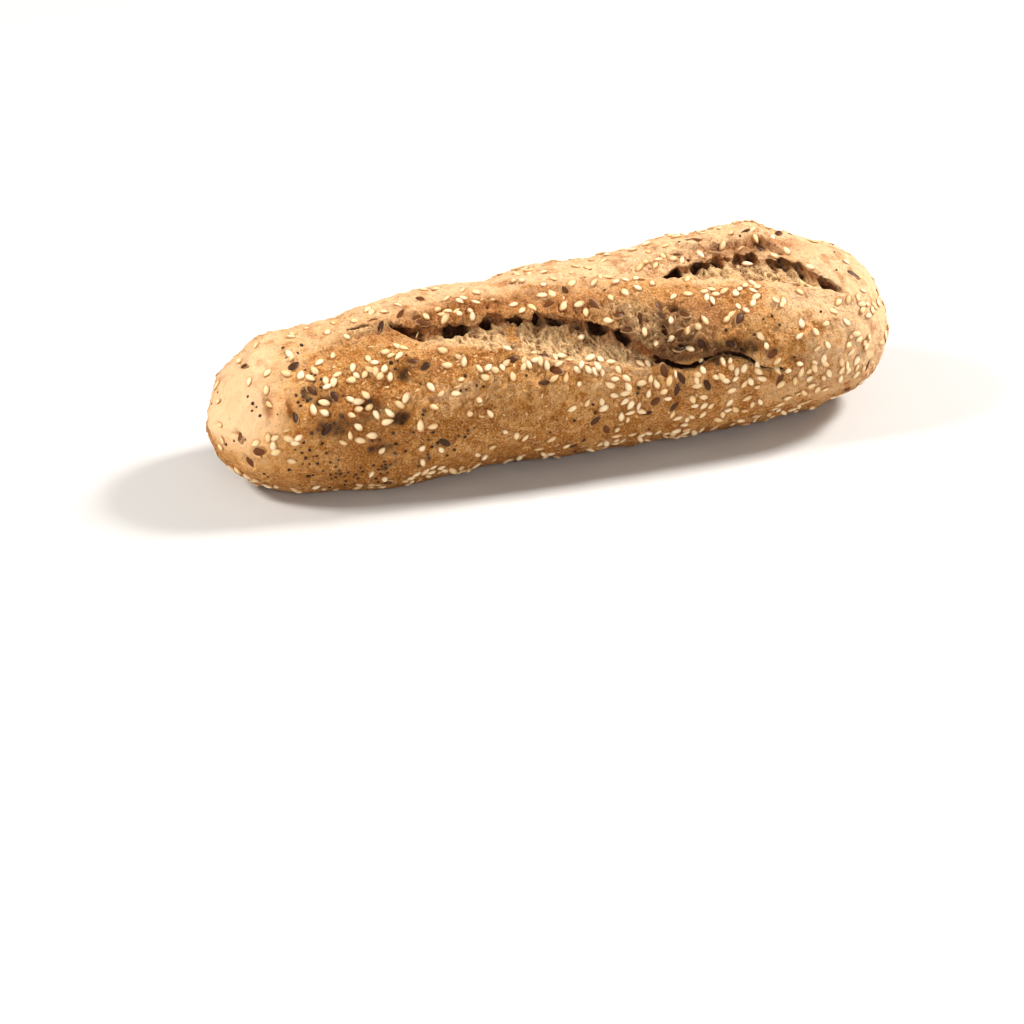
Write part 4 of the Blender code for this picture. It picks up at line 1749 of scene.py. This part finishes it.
POPPY = Sowing(
    kind=SeedKind.POPPY, slot="poppy", size=(1.04, 0.94, 0.86), outline=(8, 5), taper=0.1, lift=0.04,
    sink=0.34, tip=1.0, uneven=0.14, first=None,
    rest=layer(
        *((place, angle, 1.5, 3.2, 3.4) for place, angle in POPPY_CLUSTERS),
        (-60, -24, 14, 8, 0.16), (-12, 33, 8, 6, 0.25), (22, 6, 8, 10, 0.14), (46, 14, 10, 10, 0.16),
        (70, 20, 12, 20, 0.06), (-60, 10, 24, 34, 0.2),
        count=240, spacing=0.95, everywhere=0.012,
    ),
    coat=SeedCoat(
        name="poppy_coat", plain=colour(50, 36, 27), other=colour(92, 70, 52), rim=colour(60, 42, 30),
        tip=colour(52, 38, 30), roughness=0.66, specular=0.12, grain=0.35, grain_height=0.06,
    ),
)
BRAN = Sowing(
    kind=SeedKind.BRAN, slot="crust", size=(1.9, 0.6, 0.18), outline=(8, 4), taper=0.2, lift=0.0,
    sink=0.1, tip=1.6, uneven=0.35, first=None,
    rest=layer(
        (-36, 20, 12, 12, 1.2), (-14, 12, 12, 14, 0.9), (-22, 44, 18, 7, 1.2), (-36, 72, 18, 8, 0.7),
        (-14, 31, 7, 6, 1.2), (20, 42, 10, 10, 1), (46, 80, 22, 9, 0.8), (4, 0, 20, 20, 0.5),
        (-58, 0, 16, 16, 0.3),
        count=440, spacing=0.9, everywhere=0.16,
    ),
    coat=SeedCoat(
        name="bran_coat", plain=colour(232, 196, 146), other=colour(200, 150, 96),
        rim=colour(220, 178, 126), tip=colour(226, 190, 142), roughness=0.6, specular=0.3, grain=0.6,
        grain_height=0.04,
    ),
)
SOWINGS = (FLAX, SESAME, POPPY, BRAN)


@dataclass
class Drawing:
    """Draws places for the seeds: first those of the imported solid, by the same draw, then all the rest."""

    dough: Dough
    draw_seed: int = 20
    batch: int = 4000
    lean: float = 9.0
    floor_clearance: float = 4.5
    lip_clearance: float = 1.9
    tear_lean: float = 0.55
    in_tear: float = 0.10
    tear_floor: float = 0.5
    tear_rims: Span = (0.4, 0.8)
    runs: Span = (-0.93, 0.93)
    first_angle: float = -90.0
    sizes: Span = (0.84, 1.14)
    size_mix: float = 13.7
    tint_mix: float = 7.3
    elbow_room: float = 0.8

    def __post_init__(self) -> None:
        """Starts the draw."""
        self.draw = np.random.default_rng(self.draw_seed)
        self.taken = np.zeros((0, 4))
        self.refill()

    def refill(self) -> None:
        """Draws a batch of places, with a chance, a heading and a lean for each."""
        rows = self.draw.random((self.batch, 5))
        self.angle = 360.0 * rows[:, 1] + self.first_angle
        self.chance, self.heading, self.tip = rows[:, 2], 360.0 * rows[:, 3], rows[:, 4]
        self.places, self.outs = self.dough.skin(within(self.runs, rows[:, 0]), self.angle)
        self.next = 0

    def fit(self, layer: Layer, clear: bool) -> Array:
        """Which places of the batch suit a seed.

        Args:
            layer: The seeds' layer.
            clear: Whether they keep well off the slashes and the floor, or lie in a slash now and then.

        Returns:
            True for each place that suits.
        """
        chance = self.chance
        x = self.places[:, 0]
        good = self.places[:, 2] >= self.floor_clearance * (1.0 if clear else self.tear_floor)
        for slash in self.dough.slashes:
            across, width, _ = self.dough.slash_at(slash, x, self.angle)
            if clear:
                room = width * (1.0 + self.tear_lean) + self.lip_clearance
                good &= (width == 0.0) | (np.abs(across) >= room)
            else:
                low, high = self.tear_rims
                opening = (width > 0.0) & (across > low - width) & (across < width + high)
                chance = np.where(opening, chance / self.in_tear, chance)
        thick = layer.everywhere + sum(patch.at(x, self.angle) for patch in layer.patches)
        return good & (chance <= thick)

    def sow(self, layer: Layer, count: int, clear: bool) -> list[Spot]:
        """Takes places that suit a seed, each clear of those taken before it.

        Args:
            layer: The seeds' layer.
            count: How many places.
            clear: Whether they keep well off the slashes and the floor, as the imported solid's do.

        Returns:
            The places.
        """
        spots: list[Spot] = []
        while len(spots) < count:
            suited = np.nonzero(self.fit(layer, clear))[0]
            for index in suited[suited >= self.next]:
                place = self.places[index]
                apart = np.linalg.norm(self.taken[:, :3] - place, axis=1)
                if (apart < (layer.spacing + self.taken[:, 3]) / 2.0).any():
                    continue
                self.taken = np.vstack((self.taken, (*place, layer.spacing)))
                spots.append(self.spot(index))
                if len(spots) == count:
                    self.next = index + 1
                    break
            else:
                self.refill()
        return spots

    def spot(self, index: int) -> Spot:
        """One place of the batch, as a seed's.

        Args:
            index: The place's number.

        Returns:
            The place with the seed's direction, size, lean and tint.
        """
        out, heading = self.outs[index], self.heading[index]
        flat = Vector(out).to_track_quat("Z", "X").to_matrix()
        axis = flat @ Matrix.Rotation(math.radians(heading), 3, "Z") @ Vector((1.0, 0.0, 0.0))
        size = within(self.sizes, math.modf(heading * self.size_mix)[0])
        tint = math.modf(heading * self.tint_mix)[0]
        lean = self.lean * (2.0 * self.tip[index] - 1.0)
        return Spot(self.places[index], out, np.array(axis), size, lean, tint)

    def spots(self) -> dict[SeedKind, tuple[Spot, ...]]:
        """Draws every place.

        Returns:
            The places, by the kind that lies there.
        """
        found = {sowing.kind: [] for sowing in SOWINGS}
        for sowing in SOWINGS:
            if sowing.first is not None:
                found[sowing.kind] += self.sow(sowing.first, sowing.first.count, clear=True)
        for sowing in SOWINGS:
            self.taken[:, 3] = np.minimum(self.taken[:, 3], sowing.rest.spacing + self.elbow_room)
            left = sowing.rest.count - len(found[sowing.kind])
            found[sowing.kind] += self.sow(sowing.rest, left, clear=False)
        return {kind: tuple(spots) for kind, spots in found.items()}


@dataclass
class Ground:
    """The dressed bodies that the seeds lie on."""

    dough: Dough
    bodies: tuple[Object, ...]
    look_from: float = 6.0
    feeler: float = 0.8
    steepest: float = 1.1

    def __post_init__(self) -> None:
        """Reads the bodies' surfaces."""
        graph = bpy.context.evaluated_depsgraph_get()
        self.trees = [BVHTree.FromObject(body, graph) for body in self.bodies]

    def under(self, place: Array, out: Array) -> Vector | None:
        """Where a line that comes straight in over a place first meets the bread.

        Args:
            place: The place on the smooth crust.
            out: The way out of the bread there.

        Returns:
            The point, in metres, or None where the line misses.
        """
        start = Vector(self.dough.in_metres(place + self.look_from * out))
        hits = [tree.ray_cast(start, Vector(-out)) for tree in self.trees]
        found = [hit for hit in hits if hit[0] is not None]
        return min(found, key=itemgetter(3))[0] if found else None

    def settle(self, spot: Spot) -> tuple[Array, Array] | None:
        """Where a seed comes to lie.

        Args:
            spot: The place drawn for it.

        Returns:
            The point under the seed's middle and the way that the bread faces, or None on too steep a step.
        """
        side, other = spot.axis, np.cross(spot.out, spot.axis)
        steps = (side, other, -side, -other)
        felt = [self.under(spot.place + self.feeler * step, spot.out) for step in steps]
        middle = self.under(spot.place, spot.out)
        if middle is None or None in felt:
            return None
        points = [np.array(point) for point in felt]
        normal = np.cross(points[0] - points[2], points[1] - points[3])
        normal /= np.linalg.norm(normal)
        if normal @ spot.out < math.cos(self.steepest):
            return None
        return (np.array(middle) + sum(points)) / 5.0, normal


@dataclass
class SeedMould:
    """Lays one kind of seed on its places, as Geometry Nodes that grow a seed's form from its sizes."""

    sowing: Sowing
    spots: Sequence[Spot]
    ground: Ground
    draw_seed: int = 3
    sink_mix: float = 5.1

    def places(self) -> Object:
        """Lays the seeds down.

        Returns:
            Their middles as points, with the way that each is turned, its size and its tint.
        """
        middles, values = [], {"turn": [], "size": [], "tint": []}
        for spot in self.spots:
            lain = self.ground.settle(spot)
            if lain is None:
                continue
            middle, normal = lain
            axis = spot.axis - (spot.axis @ normal) * normal
            axis /= np.linalg.norm(axis)
            flat = Matrix(np.stack((axis, np.cross(normal, axis), normal), axis=1).tolist())
            lean = Matrix.Rotation(math.radians(self.sowing.tip * spot.lean), 3, "Y")
            values["turn"].append((flat @ lean).to_euler()[:])
            values["size"].append(spot.size)
            values["tint"].append(spot.tint)
            sink = self.sowing.sink * math.modf(spot.tint * self.sink_mix)[0]
            middles.append(tuple(middle + (self.sowing.lift - sink) * MM * normal))
        mesh = bpy.data.meshes.new(f"{self.sowing.kind.value}_places")
        mesh.from_pydata(middles, [], [])
        for name, rows in values.items():
            store(mesh, name, np.array(rows, np.float32))
        return placed(self.sowing.kind.value, mesh)

    def tree(self) -> NodeTree:
        """Wires the tree that grows a seed on every point.

        Returns:
            The tree, with the sizes, the shape's numbers and the coat as its inputs.
        """
        tree = bpy.data.node_groups.new(f"{self.sowing.kind.value}_mould", "GeometryNodeTree")
        inputs = [("Geometry", "Geometry"), ("Coat", "Material")]
        inputs += [(name, "Float") for name in ("Length", "Width", "Thickness", "Taper", "Uneven")]
        inputs += [(name, "Int") for name in ("Sides", "Rings", "Seed")]
        for name, kind in inputs:
            tree.interface.new_socket(name, in_out="INPUT", socket_type=f"NodeSocket{kind}")
        tree.interface.new_socket("Geometry", in_out="OUTPUT", socket_type="NodeSocketGeometry")
        wire = Wiring(tree)
        given = wire.add("NodeGroupInput").outputs
        faces = {"Segments": given["Sides"], "Rings": given["Rings"], "Radius": 1.0}
        body = wire.add("GeometryNodeMeshUVSphere", faces).outputs["Mesh"]
        middle = wire.add("GeometryNodeInputPosition").outputs[0]
        at = wire.add("ShaderNodeSeparateXYZ", {0: middle}).outputs
        square = wire.times(at["X"], at["X"])
        tapered = wire.times(given["Taper"], wire.math("ADD", at["X"], square))
        narrow = wire.math("SUBTRACT", 1.0, tapered)
        grown = {}
        for side, name in (("X", "Length"), ("Y", "Width"), ("Z", "Thickness")):
            reach = at[side] if side == "X" else wire.times(at[side], narrow)
            grown[side] = wire.times(reach, wire.times(given[name], 0.5))
        # The rim value, from the middle to the outline in plan, is where the coat lays its rim colour,
        # partly painted shade or highlight.
        plan = wire.math("SQRT", wire.math("ADD", square, wire.times(at["Y"], at["Y"])))
        for name, value in (("along", at["X"]), ("rim", plan)):
            values = {"Geometry": body, "Name": name, "Value": value}
            body = wire.add("GeometryNodeStoreNamedAttribute", values, data_type="FLOAT").outputs[0]
        moved = {"Geometry": body, "Position": wire.add("ShaderNodeCombineXYZ", grown).outputs[0]}
        body = wire.add("GeometryNodeSetPosition", moved).outputs[0]
        uneven = wire.add("FunctionNodeRandomValue", data_type="FLOAT_VECTOR")
        low, high = (wire.math(how, 1.0, given["Uneven"]) for how in ("SUBTRACT", "ADD"))
        for name, value in (("Min", low), ("Max", high), ("Seed", given["Seed"])):
            tree.links.new(value, next(s for s in uneven.inputs if s.name == name and s.enabled))
        chosen = next(s for s in uneven.outputs if s.enabled)
        turn = wire.add("GeometryNodeInputNamedAttribute", {"Name": "turn"}, data_type="FLOAT_VECTOR")
        size = wire.add("GeometryNodeInputNamedAttribute", {"Name": "size"}, data_type="FLOAT")
        scale = wire.add("ShaderNodeVectorMath", {0: chosen, "Scale": size.outputs[0]}, operation="SCALE")
        laid = {"Points": given["Geometry"], "Instance": body}
        laid |= {"Rotation": turn.outputs[0], "Scale": scale.outputs[0]}
        body = wire.add("GeometryNodeInstanceOnPoints", laid).outputs[0]
        for kind in ("GeometryNodeRealizeInstances", "GeometryNodeSetShadeSmooth"):
            body = wire.add(kind, {"Geometry": body}).outputs[0]
        body = wire.add("GeometryNodeSetMaterial", {"Geometry": body, "Material": given["Coat"]}).outputs[0]
        wire.add("NodeGroupOutput", {"Geometry": body})
        return tree

    def build(self) -> Object:
        """Grows all seeds of the kind.

        Returns:
            The seeds as one plain mesh, set in the frame.
        """
        made = self.places()
        material = self.sowing.coat.material()
        modifier = made.modifiers.new("mould", "NODES")
        modifier.node_group = self.tree()
        wanted = {"Taper": self.sowing.taper, "Uneven": self.sowing.uneven}
        wanted |= {"Seed": self.draw_seed, "Coat": material}
        wanted |= zip(("Length", "Width", "Thickness"), (size * MM for size in self.sowing.size))
        wanted |= zip(("Sides", "Rings"), self.sowing.outline)
        for item in modifier.node_group.interface.items_tree:
            if item.in_out == "INPUT" and item.name in wanted:
                modifier[item.identifier] = wanted[item.name]
        graph = bpy.context.evaluated_depsgraph_get()
        made.update_tag()
        graph.update()
        plain = bpy.data.meshes.new_from_object(made.evaluated_get(graph))
        plain.materials.clear()
        plain.materials.append(material)
        made.modifiers.clear()
        made.data = plain
        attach(made, BODY)
        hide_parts(LOAF)
        return made


@dataclass(frozen=True)
class Lamp:
    """A square soft lamp: where it stands, what it looks at, its side, power and colour."""

    name: str
    place: tuple[float, float, float]
    side: float
    power: float
    colour: tuple[float, float, float] = (1.0, 1.0, 1.0)
    aim: tuple[float, float, float] = (0.0, 0.0, 0.02)

    def build(self) -> None:
        """Hangs the lamp."""
        light = bpy.data.lights.new(self.name, "AREA")
        light.shape = "SQUARE"
        light.size = self.side
        light.energy = self.power
        light.color = self.colour
        made = placed(self.name, light)
        made.location = self.place
        made.rotation_euler = (Vector(self.aim) - Vector(self.place)).to_track_quat("-Z", "Y").to_euler()


@dataclass
class Studio:
    """A pale floor, soft lamps and the camera at the photograph's angle."""

    turn: float = 18.54
    tilt: float = 29.24
    distance: float = 885.0
    focal_pixels: float = 3208.0
    picture: float = 1024.0
    loaf_middle: Span = (548.54, 355.42)
    looked_at: tuple[float, float, float] = (-1.25, -0.47, 23.8)
    sensor: float = 36.0
    floor_side: float = 12.0
    floor_colour: Colour = (0.62, 0.61, 0.6, 1.0)
    floor_roughness: float = 0.9
    sky: Colour = (1.0, 0.98, 0.95, 1.0)
    sky_strength: float = 0.32
    lamps: tuple[Lamp, ...] = (
        Lamp("left_lamp", (-0.8, 0.15, 0.75), 0.24, 11.6, (1.0, 0.97, 0.92)),
        Lamp("right_lamp", (0.85, 0.1, 0.75), 0.24, 18.4, (1.0, 0.97, 0.93)),
        Lamp("front_lamp", (-0.1, -1.1, 0.55), 0.5, 4.4, (1.0, 0.96, 0.9)),
    )

    def camera(self) -> Object:
        """Sets up the camera, so that the loaf stands in the picture as in the photograph.

        Returns:
            The camera.
        """
        turn, tilt = math.radians(self.turn), math.radians(self.tilt)
        right = Vector((math.cos(turn), -math.sin(turn), 0.0))
        ahead = Vector((math.sin(turn), math.cos(turn), 0.0))
        sight = math.cos(tilt) * ahead - math.sin(tilt) * Vector((0.0, 0.0, 1.0))
        up = math.sin(tilt) * ahead + math.cos(tilt) * Vector((0.0, 0.0, 1.0))
        half = self.picture / 2.0
        aside = (self.loaf_middle[0] - half) / self.focal_pixels
        above = (half - self.loaf_middle[1]) / self.focal_pixels
        place = Vector(self.looked_at) - self.distance * (sight + aside * right + above * up)
        lens = bpy.data.cameras.new("camera")
        lens.sensor_width = self.sensor
        lens.lens = self.focal_pixels * self.sensor / self.picture
        lens.clip_end = 100.0
        made = placed("camera", lens)
        pose = Matrix((right, up, -sight)).transposed().to_4x4()
        pose.translation = place * MM
        made.matrix_world = pose
        return made

    def floor(self) -> None:
        """Lays the pale floor."""
        half = self.floor_side / 2.0
        corners = np.array(((-half, -half, 0.0), (half, -half, 0.0), (half, half, 0.0), (-half, half, 0.0)))
        material, wire, shader = new_material("pale_floor")
        wire.fill(shader, {"Base Color": self.floor_colour, "Roughness": self.floor_roughness})
        made = Shape(corners, np.array(((0, 1, 2, 3),))).write("floor", material)

    def build(self) -> None:
        """Sets up the studio."""
        scene = bpy.context.scene
        scene.camera = self.camera()
        self.floor()
        for lamp in self.lamps:
            lamp.build()
        world = bpy.data.worlds.new("studio")
        world.use_nodes = True
        shader = world.node_tree.nodes["Background"]
        Wiring(world.node_tree).fill(shader, {"Color": self.sky, "Strength": self.sky_strength})
        scene.world = world
        scene.view_settings.view_transform = "Standard"


def report(piece: Object) -> None:
    """Logs a piece's name and size."""
    faces = sum(len(face.vertices) - 2 for face in piece.data.polygons)
    log.info("%s: %d triangles", piece.name, faces)


def main() -> None:
    """Builds the loaf piece by piece, and the studio round it."""
    logging.basicConfig(level=logging.INFO, format="%(asctime)s %(message)s")
    dough = Dough()
    spots = Drawing(dough).spots()
    relief = Relief(spots[SeedKind.FLAX], spots[SeedKind.SESAME], spots[SeedKind.POPPY])
    crust = Crust(dough, relief)
    bread = BreadFinish().material()
    bodies = [crust.build(bread)]
    bodies += [TornCrumb(crust, slash).build(bread) for slash in dough.slashes]
    for body in bodies:
        report(body)
    ground = Ground(dough, tuple(bodies))
    for sowing in SOWINGS:
        report(SeedMould(sowing, spots[sowing.kind], ground).build())
    Studio().build()


if __name__ == "__main__":
    main()
